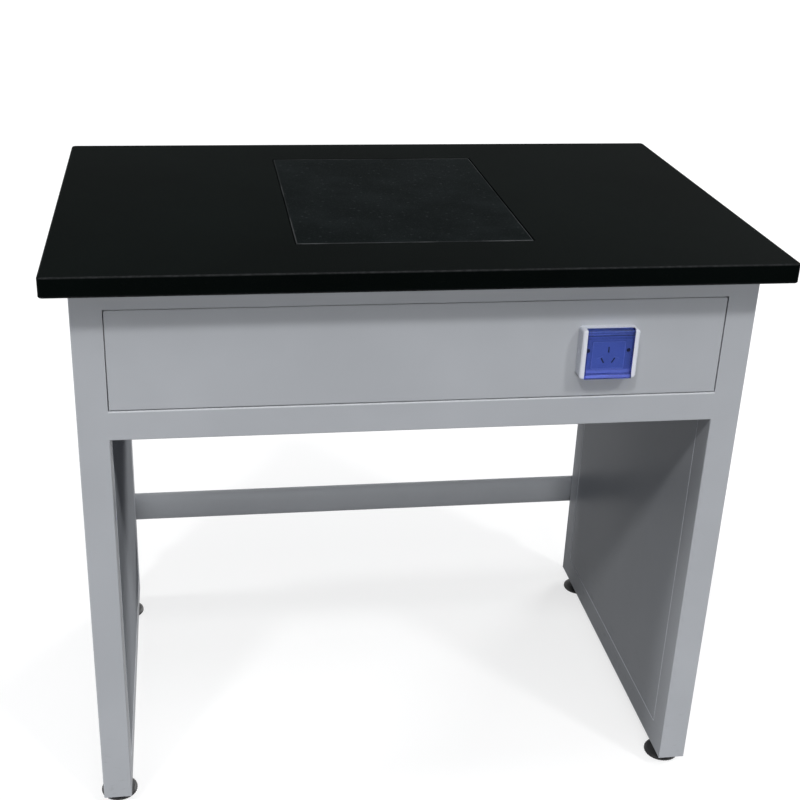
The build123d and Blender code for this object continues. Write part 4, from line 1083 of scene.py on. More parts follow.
class FastenerTree(GrowingTree):
    """Screws, bolts, nuts and washers, their heads on the given points."""

    HEXAGON_RADIUS_SHARE = 0.5774
    BAR_WIDTH_SHARE = 0.24
    SHANK_SIDES = 20
    SHANK_OVERLAP = 0.2 * MM

    def __init__(self, name: str, recess: Recess, shank: bool) -> None:
        """Builds the tree.

        Args:
            name: The tree's name.
            recess: What is cut into the head.
            shank: Whether there is a shank below the head.
        """
        super().__init__(name)
        sides, radius = self.size("Head Sides", 32), self.size("Head Radius", 4.0 * MM)
        height, chamfer = self.size("Head Height", 3.0 * MM), self.size("Chamfer", 0.4 * MM)
        seed = self.size("Seed", 1)
        head = self.chamfered_post(sides, radius, 0.0, height, chamfer, both_ends=False)
        if recess is not Recess.NONE:
            width, depth = self.size("Recess Width", 2.0 * MM), self.size("Recess Depth", 1.0 * MM)
            head = self._cut(head, recess, width, depth, height)
        parts = [head]
        if shank:
            shank_radius, length = self.size("Shank Radius", 2.0 * MM), self.size("Shank Length", 10.0 * MM)
            below = self.board.math("MULTIPLY", length, -1.0)
            whole_length = self.board.math("ADD", length, self.SHANK_OVERLAP)
            parts.append(self.post(self.SHANK_SIDES, shank_radius, below, whole_length))
        self.close(self.on_points(self.join(*parts), seed))

    def _cut(self, head: bpy.types.NodeSocket, recess: Recess, width: Value, depth: Value,
             height: Value) -> bpy.types.NodeSocket:
        """Cuts the recess out of a head.

        Args:
            head: The head's geometry.
            recess: The recess's form.
            width: Its width, across flats for a hexagon.
            depth: Its depth.
            height: The head's height.

        Returns:
            The head with its recess.
        """
        board = self.board
        bottom = board.math("SUBTRACT", height, depth)
        tall = board.math("MULTIPLY", depth, 2.0)
        cutters = []
        if recess is Recess.HEXAGON:
            corner_radius = board.math("MULTIPLY", width, self.HEXAGON_RADIUS_SHARE)
            cutters.append(self.post(6, corner_radius, bottom, tall))
        else:
            slim = board.math("MULTIPLY", width, self.BAR_WIDTH_SHARE)
            for across, along in ((width, slim), (slim, width)):
                size = board.whole(across, along, tall)
                bar = board.put("GeometryNodeMeshCube", {"Size": size}).outputs["Mesh"]
                cutters.append(self.moved(bar, board.math("MULTIPLY_ADD", tall, 0.5, bottom)))
        for cutter in cutters:
            head = board.put("GeometryNodeMeshBoolean", {0: head, 1: cutter},
                             operation="DIFFERENCE").outputs[0]
        return head


class ThreadedRodTree(GrowingTree):
    """A threaded rod, on each point or, with a hexagon collar, at the origin."""

    RIDGE_SHARE = 0.42
    FLANK_SHARE = 0.95
    CHAMFER_SHARE = 0.6
    ROUND_STEPS = 28
    HEXAGON_CHAMFER = 0.7 * MM

    def __init__(self, name: str, collar: bool) -> None:
        """Builds the tree.

        Args:
            name: The tree's name.
            collar: Whether a hexagon sits on the rod.
        """
        super().__init__(name)
        board = self.board
        radius, pitch = self.size("Radius", 5.0 * MM), self.size("Pitch", 1.5 * MM)
        length, seed = self.size("Length", 50.0 * MM), self.size("Seed", 1)
        ridge = board.math("MULTIPLY", pitch, self.RIDGE_SHARE)
        core = board.math("SUBTRACT", radius, ridge)
        chamfer = board.math("MULTIPLY", pitch, self.CHAMFER_SHARE)
        rod = self.chamfered_post(self.ROUND_STEPS, core, 0.0, length, chamfer, both_ends=True)
        whole = self.join(rod, self._thread(radius, pitch, length, ridge))
        if collar:
            hexagon, start = self.size("Hexagon Radius", 10.0 * MM), self.size("Hexagon Start", 10.0 * MM)
            tall = self.size("Hexagon Height", 6.0 * MM)
            nut = self.chamfered_post(6, hexagon, start, tall, self.HEXAGON_CHAMFER, both_ends=True)
            self.close(self.join(whole, nut))
        else:
            self.close(self.on_points(whole, seed))

    def _thread(self, radius: Value, pitch: Value, length: Value, ridge: Value) -> bpy.types.NodeSocket:
        """Makes the thread, which stops one pitch short of each end.

        Args:
            radius: The radius over the crests.
            pitch: The rise of one turn.
            length: The rod's length.
            ridge: The height of the crests.

        Returns:
            The thread's geometry.
        """
        board = self.board
        plain_ends = board.math("MULTIPLY", pitch, 2.0)
        rise = board.math("SUBTRACT", length, plain_ends)
        turns = board.math("DIVIDE", rise, pitch)
        flank = board.math("SUBTRACT", radius, board.math("MULTIPLY", ridge, self.FLANK_SHARE))
        helix = board.put("GeometryNodeCurveSpiral",
                          {"Resolution": self.ROUND_STEPS, "Rotations": turns, "Start Radius": flank,
                           "End Radius": flank, "Height": rise}).outputs[0]
        upright = board.put("GeometryNodeSetCurveNormal", {"Curve": helix}, mode="Z_UP").outputs[0]
        crest = board.put("GeometryNodeCurvePrimitiveCircle", {"Resolution": 4, "Radius": ridge}).outputs[0]
        thread = board.put("GeometryNodeCurveToMesh",
                           {"Curve": upright, "Profile Curve": crest, "Fill Caps": True}).outputs[0]
        return self.moved(thread, pitch)


class BeadTree(GrowingTree):
    """A weld bead of overlapping ripples along the given edges."""

    def __init__(self) -> None:
        """Builds the tree."""
        super().__init__("weld_bead_tree")
        board = self.board
        pitch, width = self.size("Pitch", 2.0 * MM), self.size("Width", 3.0 * MM)
        path = board.put("GeometryNodeMeshToCurve", {0: self.given["Geometry"]}).outputs[0]
        points = board.put("GeometryNodeCurveToPoints", {"Curve": path, "Length": pitch},
                           mode="LENGTH").outputs
        drop = board.put("GeometryNodeMeshUVSphere", {"Segments": 8, "Rings": 5, "Radius": 1.0})
        swell = board.put("FunctionNodeRandomValue", {2: 0.88, 3: 1.1, "Seed": self.size("Seed", 3)},
                          data_type="FLOAT").outputs[1]
        across = board.math("MULTIPLY", width, swell)
        along = board.math("MULTIPLY", pitch, 1.25)
        self.close(board.put("GeometryNodeInstanceOnPoints",
                             {"Points": points["Points"], "Instance": drop.outputs["Mesh"],
                              "Rotation": points["Rotation"],
                              "Scale": board.whole(across, across, along)}).outputs[0])


class SeamTree(GrowingTree):
    """A slim round bead along edges, in loops or open."""

    def __init__(self) -> None:
        """Builds the tree."""
        super().__init__("seam_tree")
        board = self.board
        radius, corner = self.size("Radius", 0.5 * MM), self.size("Corner Radius", 2.0 * MM)
        path = board.put("GeometryNodeMeshToCurve", {0: self.given["Geometry"]}).outputs[0]
        rounded = board.put("GeometryNodeFilletCurve", {"Curve": path, "Radius": corner, "Count": 4},
                            mode="POLY").outputs[0]
        ring = board.put("GeometryNodeCurvePrimitiveCircle", {"Resolution": 8, "Radius": radius}).outputs[0]
        self.close(board.put("GeometryNodeCurveToMesh",
                             {"Curve": rounded, "Profile Curve": ring, "Fill Caps": True}).outputs[0])


class RibbedTree(GrowingTree):
    """Upright ribs round a turned body."""

    def __init__(self) -> None:
        """Builds the tree."""
        super().__init__("ribbed_tree")
        board = self.board
        count, radius = self.size("Count", 24), self.size("Radius", 10.0 * MM)
        bottom, height = self.size("Bottom", 0.0), self.size("Height", 10.0 * MM)
        wide, deep = self.size("Rib Width", 1.0 * MM), self.size("Rib Depth", 1.0 * MM)
        ring = board.put("GeometryNodeMeshCircle", {"Vertices": count, "Radius": radius}).outputs[0]
        outward = board.put("GeometryNodeInputPosition").outputs[0]
        aimed = board.put("FunctionNodeAlignRotationToVector", {"Vector": outward}, axis="X").outputs[0]
        rib = board.put("GeometryNodeMeshCube", {"Size": board.whole(deep, wide, height)}).outputs["Mesh"]
        lifted = self.moved(rib, board.math("MULTIPLY_ADD", height, 0.5, bottom))
        ribs = board.put("GeometryNodeInstanceOnPoints",
                         {"Points": ring, "Instance": lifted, "Rotation": aimed}).outputs[0]
        self.close(self.join(self.given["Geometry"], ribs))


def over_corners(across_flats: float) -> float:
    """Returns the corner radius of a hexagon of a given width across flats."""
    return across_flats / 2 / math.cos(math.radians(30))


@dataclass(frozen=True)
class Fastener:
    """The sizes of one kind of screw, bolt, nut or plate, and the seed that turns its heads."""

    head_radius: float
    head_height: float
    chamfer: float
    seed: int = 1
    head_sides: int = 32
    recess_width: float = 0.0
    recess_depth: float = 0.0
    shank_radius: float = 0.0

    def sizes(self, shank_length: float = 0.0) -> Sizes:
        """Gives the inputs of a fastener tree.

        Args:
            shank_length: How far the shank reaches below the head, where there is one.

        Returns:
            A value for each input that this kind has.
        """
        sizes = {"Head Sides": self.head_sides, "Head Radius": self.head_radius,
                 "Head Height": self.head_height, "Chamfer": self.chamfer, "Seed": self.seed}
        if self.recess_width:
            sizes |= {"Recess Width": self.recess_width, "Recess Depth": self.recess_depth}
        if self.shank_radius:
            sizes |= {"Shank Radius": self.shank_radius, "Shank Length": shank_length}
        return sizes


TAPPING_SCREW = Fastener(3.5 * MM, 2.6 * MM, 0.7 * MM, recess_width=3.6 * MM, recess_depth=1.3 * MM,
                         shank_radius=2.0 * MM)


class Workshop:
    """The growing trees, the finishes, and the calls that hand a piece to the frame."""

    def __init__(self) -> None:
        """Makes the finishes and the trees."""
        self.finishes = FinishBook()
        self.slots = {part["node"]: part["material_slot"] for part in frame["record"]["subparts"]}
        self.plain_heads = FastenerTree("plain_head_tree", Recess.NONE, shank=True)
        self.washers = FastenerTree("washer_tree", Recess.NONE, shank=False)
        self.hexagon_recess = FastenerTree("hexagon_recess_tree", Recess.HEXAGON, shank=True)
        self.cross_recess = FastenerTree("cross_recess_tree", Recess.CROSS, shank=True)
        self.rods = ThreadedRodTree("threaded_rod_tree", collar=False)
        self.collared_rods = ThreadedRodTree("collared_rod_tree", collar=True)
        self.beads = BeadTree()
        self.seams = SeamTree()
        self.ribs = RibbedTree()

    def dress(self, *nodes: str, finish: str = "") -> None:
        """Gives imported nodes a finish.

        Args:
            nodes: The nodes.
            finish: The finish's name. Without it, each node takes that of its own material slot.
        """
        for node in nodes:
            data = frame["nodes"][node].data
            data.materials.clear()
            data.materials.append(self.finishes.of(finish or self.slots[node]))
        LOG.info("dressed %s", ", ".join(nodes))

    def hand_over(self, piece: bpy.types.Object, body: str, slot: str, *nodes: str) -> None:
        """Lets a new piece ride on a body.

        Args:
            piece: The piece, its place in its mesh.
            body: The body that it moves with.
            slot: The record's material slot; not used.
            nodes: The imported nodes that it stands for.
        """
        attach(piece, body)
        if nodes:
            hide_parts(*nodes)
        LOG.info("piece %s: %d faces on %s", piece.name, len(piece.data.polygons), body)

    def grow(self, name: str, tree: GrowingTree, mesh: bpy.types.Mesh, sizes: Sizes, body: str, slot: str,
             *nodes: str, finish: str = "", place: Matrix | None = None) -> None:
        """Grows a piece and lets it ride on a body.

        Args:
            name: The piece's name.
            tree: The tree that it grows from.
            mesh: The points, edges or body that the tree works on.
            sizes: The tree's sizes.
            body: The body that the piece moves with.
            slot: The record's material slot.
            nodes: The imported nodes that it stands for.
            finish: The finish's name, where it isn't that of the slot.
            place: Where a piece goes that is grown at the origin.
        """
        piece = tree.grow(name, mesh, self.finishes.of(finish or slot), sizes)
        if place is not None:
            piece.data.transform(place)
        self.hand_over(piece, body, slot, *nodes)

    def fasteners(self, name: str, tree: FastenerTree, kind: Fastener, node: str, facing: Facing, slot: str,
                  body: str = "frame") -> None:
        """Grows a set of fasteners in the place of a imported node.

        Args:
            name: The piece's name.
            tree: The tree that they grow from.
            kind: Their sizes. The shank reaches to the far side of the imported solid.
            node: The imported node, one solid for each fastener.
            facing: The way that the heads look.
            slot: Their material slot.
            body: The body that they ride on.
        """
        places = []
        length = 0.0
        for solid in solids_of(node):
            way = facing.way
            if facing is Facing.TO_THE_MIDDLE and solid.centre.x < 0:
                way = -way
            places.append((solid.face(way) - way * kind.head_height, way))
            length = solid.length(way) - kind.head_height
        self.grow(name, tree, point_mesh(name, places), kind.sizes(length), body, slot, node)

    def piece_of(self, name: str, mesh: bpy.types.Mesh, slot: str) -> bpy.types.Object:
        """Makes a piece from a mesh that is already in its place.

        Args:
            name: The piece's name.
            mesh: The mesh.
            slot: Its material slot.

        Returns:
            The piece.
        """
        mesh.materials.append(self.finishes.of(slot))
        smooth(mesh)
        piece = bpy.data.objects.new(name, mesh)
        bpy.context.scene.collection.objects.link(piece)
        return piece


# ---- the table's sub-assemblies ---------------------------------------------------------------
@dataclass
class Top:
    """The worktop, its fixings and the balance slab."""

    screw: Fastener = replace(TAPPING_SCREW, seed=11)

    def build(self, shop: Workshop) -> None:
        """Builds the fixing screws and dresses the rest."""
        shop.dress("worktop", "balance_slab", "worktop_brackets")
        shop.fasteners("worktop_fixing_screws", shop.cross_recess, self.screw, "worktop_screws", Facing.DOWN,
                       "zinc_steel")


@dataclass
class SlabCarrier:
    """The tray and pads under the slab, and the rubber mounts that carry them."""

    mount_radius: float = 15.0 * MM
    mount_steps: int = 40
    waist_radius: float = 12.8 * MM
    swell_steps: int = 8
    swell_power: float = 0.8
    lip_radius: float = 14.0 * MM
    plate_height: float = 1.2 * MM
    plate_inset: float = 0.3 * MM
    plate_chamfer: float = 0.3 * MM
    stud_radius: float = 3.0 * MM
    stud_pitch: float = 1.0 * MM
    nut: Fastener = Fastener(over_corners(10.0 * MM), 5.0 * MM, 0.6 * MM, seed=5, head_sides=6)
    tray_screw: Fastener = Fastener(5.5 * MM, 2.4 * MM, 0.3 * MM, seed=7, recess_width=4.0 * MM,
                                    recess_depth=1.5 * MM, shank_radius=3.0 * MM)

    def build(self, shop: Workshop) -> None:
        """Builds the mounts, their plates, nuts, studs and screws, and dresses the tray.

        Args:
            shop: The workshop.
        """
        shop.dress("slab_tray", "slab_pads")
        self._rubbers(shop)
        self._plates(shop)
        shop.fasteners("mount_nuts", shop.washers, self.nut, "isolator_nuts", Facing.DOWN, "zinc_steel")
        up = Facing.UP.way
        studs = solids_of("isolator_studs")
        points = point_mesh("mount_studs", [(stud.face(-up), up) for stud in studs])
        sizes = {"Radius": self.stud_radius, "Pitch": self.stud_pitch, "Length": studs[0].length(up),
                 "Seed": 2}
        shop.grow("mount_studs", shop.rods, points, sizes, "frame", "zinc_steel", "isolator_studs")
        shop.fasteners("tray_screws", shop.hexagon_recess, self.tray_screw, "isolator_screws", Facing.UP,
                       "zinc_steel", body="slab_carrier")

    def _barrel(self, height: float) -> Profile:
        """Draws a rubber: a barrel between two straight lips.

        Args:
            height: The rubber's height.

        Returns:
            The profile.
        """
        lip = self.plate_height
        profile = [(0.0, 0.0), (self.lip_radius, 0.0), (self.lip_radius, lip)]
        for step in range(self.swell_steps + 1):
            share = step / self.swell_steps
            swell = math.sin(math.pi * share) ** self.swell_power
            radius = self.waist_radius + (self.mount_radius - self.waist_radius) * swell
            profile.append((radius, lip + (height - 2 * lip) * share))
        return profile + [(self.lip_radius, height - lip), (self.lip_radius, height), (0.0, height)]

    def _rubbers(self, shop: Workshop) -> None:
        """Builds the four rubbers as one piece that stretches between frame and tray.

        Args:
            shop: The workshop.
        """
        joined = bmesh.new()
        solids = solids_of("isolator_rubbers")
        for solid in solids:
            one = turned_mesh("mount_rubber", self._barrel(solid.high.z - solid.low.z), self.mount_steps)
            one.transform(Matrix.Translation(solid.foot))
            joined.from_mesh(one)
        piece = shop.piece_of("mount_rubbers", mesh_from("mount_rubbers", joined), "rubber")
        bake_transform(piece)
        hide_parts("isolator_rubbers")
        LOG.info("piece %s: %d faces between frame and slab_carrier", piece.name, len(piece.data.polygons))

    def _plates(self, shop: Workshop) -> None:
        """Builds the steel plates that are bonded to both ends of each rubber.

        Args:
            shop: The workshop.
        """
        plate = Fastener(self.mount_radius - self.plate_inset, self.plate_height, self.plate_chamfer,
                         head_sides=40)
        for name, facing, body in (("mount_plates_lower", Facing.UP, "frame"),
                                   ("mount_plates_upper", Facing.DOWN, "slab_carrier")):
            places = [(solid.face(-facing.way), facing.way) for solid in solids_of("isolator_rubbers")]
            shop.grow(name, shop.washers, point_mesh(name, places), plate.sizes(), body, "zinc_steel")


@dataclass
class SteelFrame:
    """Posts, rails, skins, the isolator beams, and their bolts, welds and seams."""

    seam_radius: float = 0.55 * MM
    seam_sink_share: float = 0.45
    seam_corner: float = 2.0 * MM
    bead_width: float = 1.9 * MM
    bead_pitch: float = 2.0 * MM
    bead_sink: float = 0.2 * MM
    rail_bead_stop: float = 2.0 * MM
    beam_bead_stop: float = 1.0 * MM
    beam_bolt: Fastener = Fastener(over_corners(10.0 * MM), 5.0 * MM, 0.6 * MM, seed=4, head_sides=6,
                                   shank_radius=3.0 * MM)

    def build(self, shop: Workshop) -> None:
        """Dresses the steel and builds the bolts, the seams and the welds.

        Args:
            shop: The workshop.
        """
        names = ["foot_bushes", "beam_end_plates"]
        for end in ENDS:
            names += [f"isolator_beam_{end}", f"{end}_top_rail", f"{end}_lower_rail"]
            names += [f"{end}_post_{side}" for side in SIDES]
        for part in ("side_top_rail", "side_bottom_rail", "inner_skin", "outer_skin"):
            names += [f"{part}_{side}" for side in SIDES]
        shop.dress(*names)
        shop.dress("front_lower_rail", finish="powder_coat_painted_highlight")
        shop.dress("inner_skin_left", finish="powder_coat_matt")
        shop.fasteners("beam_fixing_bolts", shop.plain_heads, self.beam_bolt, "beam_bolts",
                       Facing.TO_THE_MIDDLE, "zinc_steel")
        self._seams(shop)
        self._welds(shop)

    def _seams(self, shop: Workshop) -> None:
        """Builds a slim bead round the joint of each side skin, coloured pale as a painted highlight.

        Args:
            shop: The workshop.
        """
        loops = []
        for side, sign in SIDES.items():
            for skin, way in ((f"inner_skin_{side}", -sign), (f"outer_skin_{side}", sign)):
                low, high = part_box(skin)
                face = high.x if way > 0 else low.x
                x = face - way * (self.seam_radius * self.seam_sink_share)
                loops.append([Vector((x, low.y, low.z)), Vector((x, high.y, low.z)),
                              Vector((x, high.y, high.z)), Vector((x, low.y, high.z))])
        # the beads' pale colour is a painted highlight
        sizes = {"Radius": self.seam_radius, "Corner Radius": self.seam_corner}
        shop.grow("skin_seams", shop.seams, path_mesh("skin_seams", loops, closed=True), sizes, "frame",
                  "powder_coat", finish="seam_bead_highlight")

    def _welds(self, shop: Workshop) -> None:
        """Builds the weld beads where rails meet posts and beams meet their end plates.

        Args:
            shop: The workshop.
        """
        paths = []
        for end in ENDS:
            low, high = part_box(f"{end}_lower_rail")
            inside, stop = high.y if end == "front" else low.y, self.rail_bead_stop
            for sign in SIDES.values():
                x = sign * (high.x - self.bead_sink)
                paths.append([Vector((x, inside, low.z + stop)), Vector((x, inside, high.z - stop))])
            low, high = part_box(f"isolator_beam_{end}")
            stop = self.beam_bead_stop
            for sign in SIDES.values():
                x = sign * (high.x - self.bead_sink)
                paths.append([Vector((x, low.y + stop, low.z)), Vector((x, high.y - stop, low.z))])
                for y in (low.y, high.y):
                    paths.append([Vector((x, y, low.z + stop)), Vector((x, y, high.z - stop))])
        sizes = {"Pitch": self.bead_pitch, "Width": self.bead_width, "Seed": 9}
        shop.grow("weld_beads", shop.beads, path_mesh("weld_beads", paths, closed=False), sizes, "frame",
                  "powder_coat")


@dataclass
class Apron:
    """The front and rear panels, with the screws behind the front one."""

    screw: Fastener = replace(TAPPING_SCREW, seed=21)

    def build(self, shop: Workshop) -> None:
        """Dresses the panels and builds their screws."""
        shop.dress("front_panel", "rear_panel", "panel_brackets")
        shop.fasteners("panel_fixing_screws", shop.cross_recess, self.screw, "panel_screws", Facing.BACK,
                       "zinc_steel")


@dataclass
class FootRail:
    """The oval bar behind the rear posts."""

    bolt: Fastener = Fastener(8.0 * MM, 2.4 * MM, 0.8 * MM, seed=31, head_sides=48,
                              recess_width=5.0 * MM, recess_depth=1.7 * MM, shank_radius=4.0 * MM)

    def build(self, shop: Workshop) -> None:
        """Dresses the bar and builds its bolts."""
        shop.dress("crossbar", "crossbar_caps", "crossbar_saddles", "crossbar_nuts")
        shop.fasteners("crossbar_fixing_bolts", shop.hexagon_recess, self.bolt, "crossbar_bolts",
                       Facing.BACK, "zinc_steel")


@dataclass
class LevellingFeet:
    """Four levelling screws, each on a round pad."""

    thread_radius: float = 5.0 * MM
    thread_pitch: float = 1.5 * MM
    hexagon_across_flats: float = 17.0 * MM
    hexagon_height: float = 6.4 * MM
    hexagon_rise: float = 9.0 * MM
    pad_steps: int = 64
    sole_rise: float = 0.6 * MM
    sole_slope: float = 1.0 * MM
    tread_width: float = 5.0 * MM
    tread_edge: float = 1.2 * MM
    rim_inset: float = 0.5 * MM
    rim_top: float = 3.4 * MM
    shoulder_inset: float = 1.6 * MM
    shoulder_foot: float = 4.4 * MM
    dome_rise: float = 4.6 * MM
    dome_end_radius: float = 11.0 * MM
    dome_power: float = 1.15
    dome_steps: int = 6
    boss_radius: float = 10.0 * MM
    boss_foot: float = 9.6 * MM
    boss_top_radius: float = 9.8 * MM
    boss_edge: float = 0.7 * MM
    bore_radius: float = 5.2 * MM
    bore_floor: float = 4.0 * MM
    rib_count: int = 40
    rib_foot: float = 0.8 * MM
    rib_height: float = 2.5 * MM
    rib_width: float = 1.6 * MM
    rib_depth: float = 0.9 * MM

    def build(self, shop: Workshop) -> None:
        """Builds each foot's screw and pad.

        Args:
            shop: The workshop.
        """
        for end in ENDS:
            for side in SIDES:
                self._screw(shop, f"{end}_{side}")
                self._pad(shop, f"{end}_{side}")

    def _screw(self, shop: Workshop, corner: str) -> None:
        """Builds one screw in the place of its packed stem.

        Args:
            shop: The workshop.
            corner: The foot's corner of the table.
        """
        stem = box_of(f"foot_stem_{corner}")
        name = f"levelling_screw_{corner}"
        sizes = {"Radius": self.thread_radius, "Pitch": self.thread_pitch,
                 "Length": stem.high.z - stem.low.z, "Hexagon Start": self.hexagon_rise,
                 "Hexagon Radius": over_corners(self.hexagon_across_flats),
                 "Hexagon Height": self.hexagon_height}
        shop.grow(name, shop.collared_rods, point_mesh(name, [(Vector(), Facing.UP.way)]), sizes,
                  f"foot_screw_{corner}", "zinc_steel", f"foot_stem_{corner}",
                  place=Matrix.Translation(stem.foot))

    def _profile(self, radius: float, height: float) -> Profile:
        """Draws a pad: a rim, a domed shoulder and a boss with a bore for the screw.

        Args:
            radius: The pad's radius.
            height: Its height.

        Returns:
            The profile.
        """
        tread, rim = radius - self.tread_width, radius - self.rim_inset
        shoulder = radius - self.shoulder_inset
        profile = [(0.0, self.sole_rise), (tread - self.sole_slope, self.sole_rise), (tread, 0.0),
                   (radius - self.tread_edge, 0.0), (rim, self.sole_rise), (rim, self.rim_top),
                   (shoulder, self.shoulder_foot)]
        for step in range(1, self.dome_steps + 1):
            share = step / self.dome_steps
            inward = (shoulder - self.dome_end_radius) * math.sin(share * math.pi / 2) ** self.dome_power
            profile.append((shoulder - inward, self.shoulder_foot + self.dome_rise * share))
        return profile + [(self.boss_radius, self.boss_foot), (self.boss_top_radius, height - self.boss_edge),
                          (self.boss_top_radius - self.boss_edge, height),
                          (self.bore_radius + self.boss_edge, height),
                          (self.bore_radius, height - self.boss_edge), (self.bore_radius, self.bore_floor),
                          (0.0, self.bore_floor)]

    def _pad(self, shop: Workshop, corner: str) -> None:
        """Builds one pad with its ribbed rim.

        Args:
            shop: The workshop.
            corner: The foot's corner of the table.
        """
        pad = box_of(f"foot_pad_{corner}")
        radius, name = (pad.high.x - pad.low.x) / 2, f"levelling_pad_{corner}"
        body = turned_mesh(name, self._profile(radius, pad.high.z - pad.low.z), self.pad_steps)
        sizes = {"Count": self.rib_count, "Radius": radius - self.rib_depth / 2, "Bottom": self.rib_foot,
                 "Height": self.rib_height, "Rib Width": self.rib_width, "Rib Depth": self.rib_depth}
        shop.grow(name, shop.ribs, body, sizes, f"foot_{corner}", "black_plastic", f"foot_pad_{corner}",
                  place=Matrix.Translation(pad.foot))


@dataclass
class MainsSocket:
    """The surface socket with its clear lid, and the box behind it."""

    frame_inset: float = 1.2 * MM
    line_radius: float = 0.65 * MM
    line_corner: float = 1.5 * MM
    ridge_reach: tuple[float, float] = (7.0 * MM, 14.5 * MM)
    ridge_drop: tuple[float, float] = (1.2 * MM, 4.4 * MM)
    slot_width: float = 1.94 * MM
    slot_length: float = 7.54 * MM
    slot_tilt: float = math.radians(30.0)
    shutter_depth: float = 0.35 * MM
    shutter_thickness: float = 0.8 * MM
    shutter_edge: float = 0.15 * MM
    screw: Fastener = Fastener(2.75 * MM, 1.0 * MM, 0.25 * MM, seed=41, recess_width=3.0 * MM,
                               recess_depth=0.7 * MM, shank_radius=1.75 * MM)

    def build(self, shop: Workshop) -> None:
        """Dresses the socket's parts and builds its screws, its moulded lines and its shutters.

        Args:
            shop: The workshop.
        """
        shop.dress("socket_base", "socket_contacts", "socket_lid", "socket_hinge_pin", "socket_back_box")
        # painted shade on the faceplate and module, so that the white moulded lines read light against them
        shop.dress("socket_faceplate", "socket_module", finish="white_plastic_painted_shade")
        self._moulded_lines(shop)
        self._shutters(shop)
        # painted shade: the screws are blackened to give the shade in their wells
        shop.fasteners("socket_fixing_screws", shop.cross_recess, self.screw, "socket_screws",
                       Facing.FORWARD, "black_steel")

    def _moulded_lines(self, shop: Workshop) -> None:
        """Builds the raised frame of the pin module and the two ridges above its slanted slots.

        Args:
            shop: The workshop.
        """
        module = box_of("socket_module")
        face, middle = module.low.y, module.centre
        left, right = module.low.x + self.frame_inset, module.high.x - self.frame_inset
        bottom, top = module.low.z + self.frame_inset, module.high.z - self.frame_inset
        corners = [Vector((x, face, z)) for x, z in ((left, bottom), (right, bottom), (right, top),
                                                     (left, top))]
        ridges = []
        for sign in SIDES.values():
            ends = zip(self.ridge_reach, self.ridge_drop)
            ridges.append([Vector((middle.x + sign * reach, face, middle.z - drop)) for reach, drop in ends])
        sizes = {"Radius": self.line_radius, "Corner Radius": self.line_corner}
        for name, paths, closed in (("module_frame", [corners], True), ("module_ridges", ridges, False)):
            shop.grow(name, shop.seams, path_mesh(name, paths, closed), sizes, "frame", "white_plastic")

    def _shutters(self, shop: Workshop) -> None:
        """Builds three black shutters just inside the pin slots, as painted shade for the dark inside of the
        slots.

        Args:
            shop: The workshop.
        """
        module = box_of("socket_module")
        depth = module.low.y + self.shutter_depth + self.shutter_thickness / 2
        size = Matrix.Diagonal((self.slot_width, self.shutter_thickness, self.slot_length, 1.0))
        work = bmesh.new()
        for sleeve in solids_of("socket_contacts"):
            offset = sleeve.centre.x - module.centre.x
            upright = abs(offset) < self.slot_width / 2
            turn = Matrix.Rotation(0.0 if upright else math.copysign(self.slot_tilt, offset), 4, "Y")
            place = Matrix.Translation((sleeve.centre.x, depth, sleeve.centre.z))
            made = bmesh.ops.create_cube(work, size=1.0, matrix=place @ turn @ size)
            edges = list({edge for vertex in made["verts"] for edge in vertex.link_edges})
            bmesh.ops.bevel(work, geom=edges, offset=self.shutter_edge, segments=2, affect="EDGES")
        # painted shade: black sheets stand in for the shade inside the slots
        piece = shop.piece_of("slot_shutters_painted_shade", mesh_from("slot_shutters_painted_shade", work), "black_plastic")
        shop.hand_over(piece, "frame", "black_plastic")


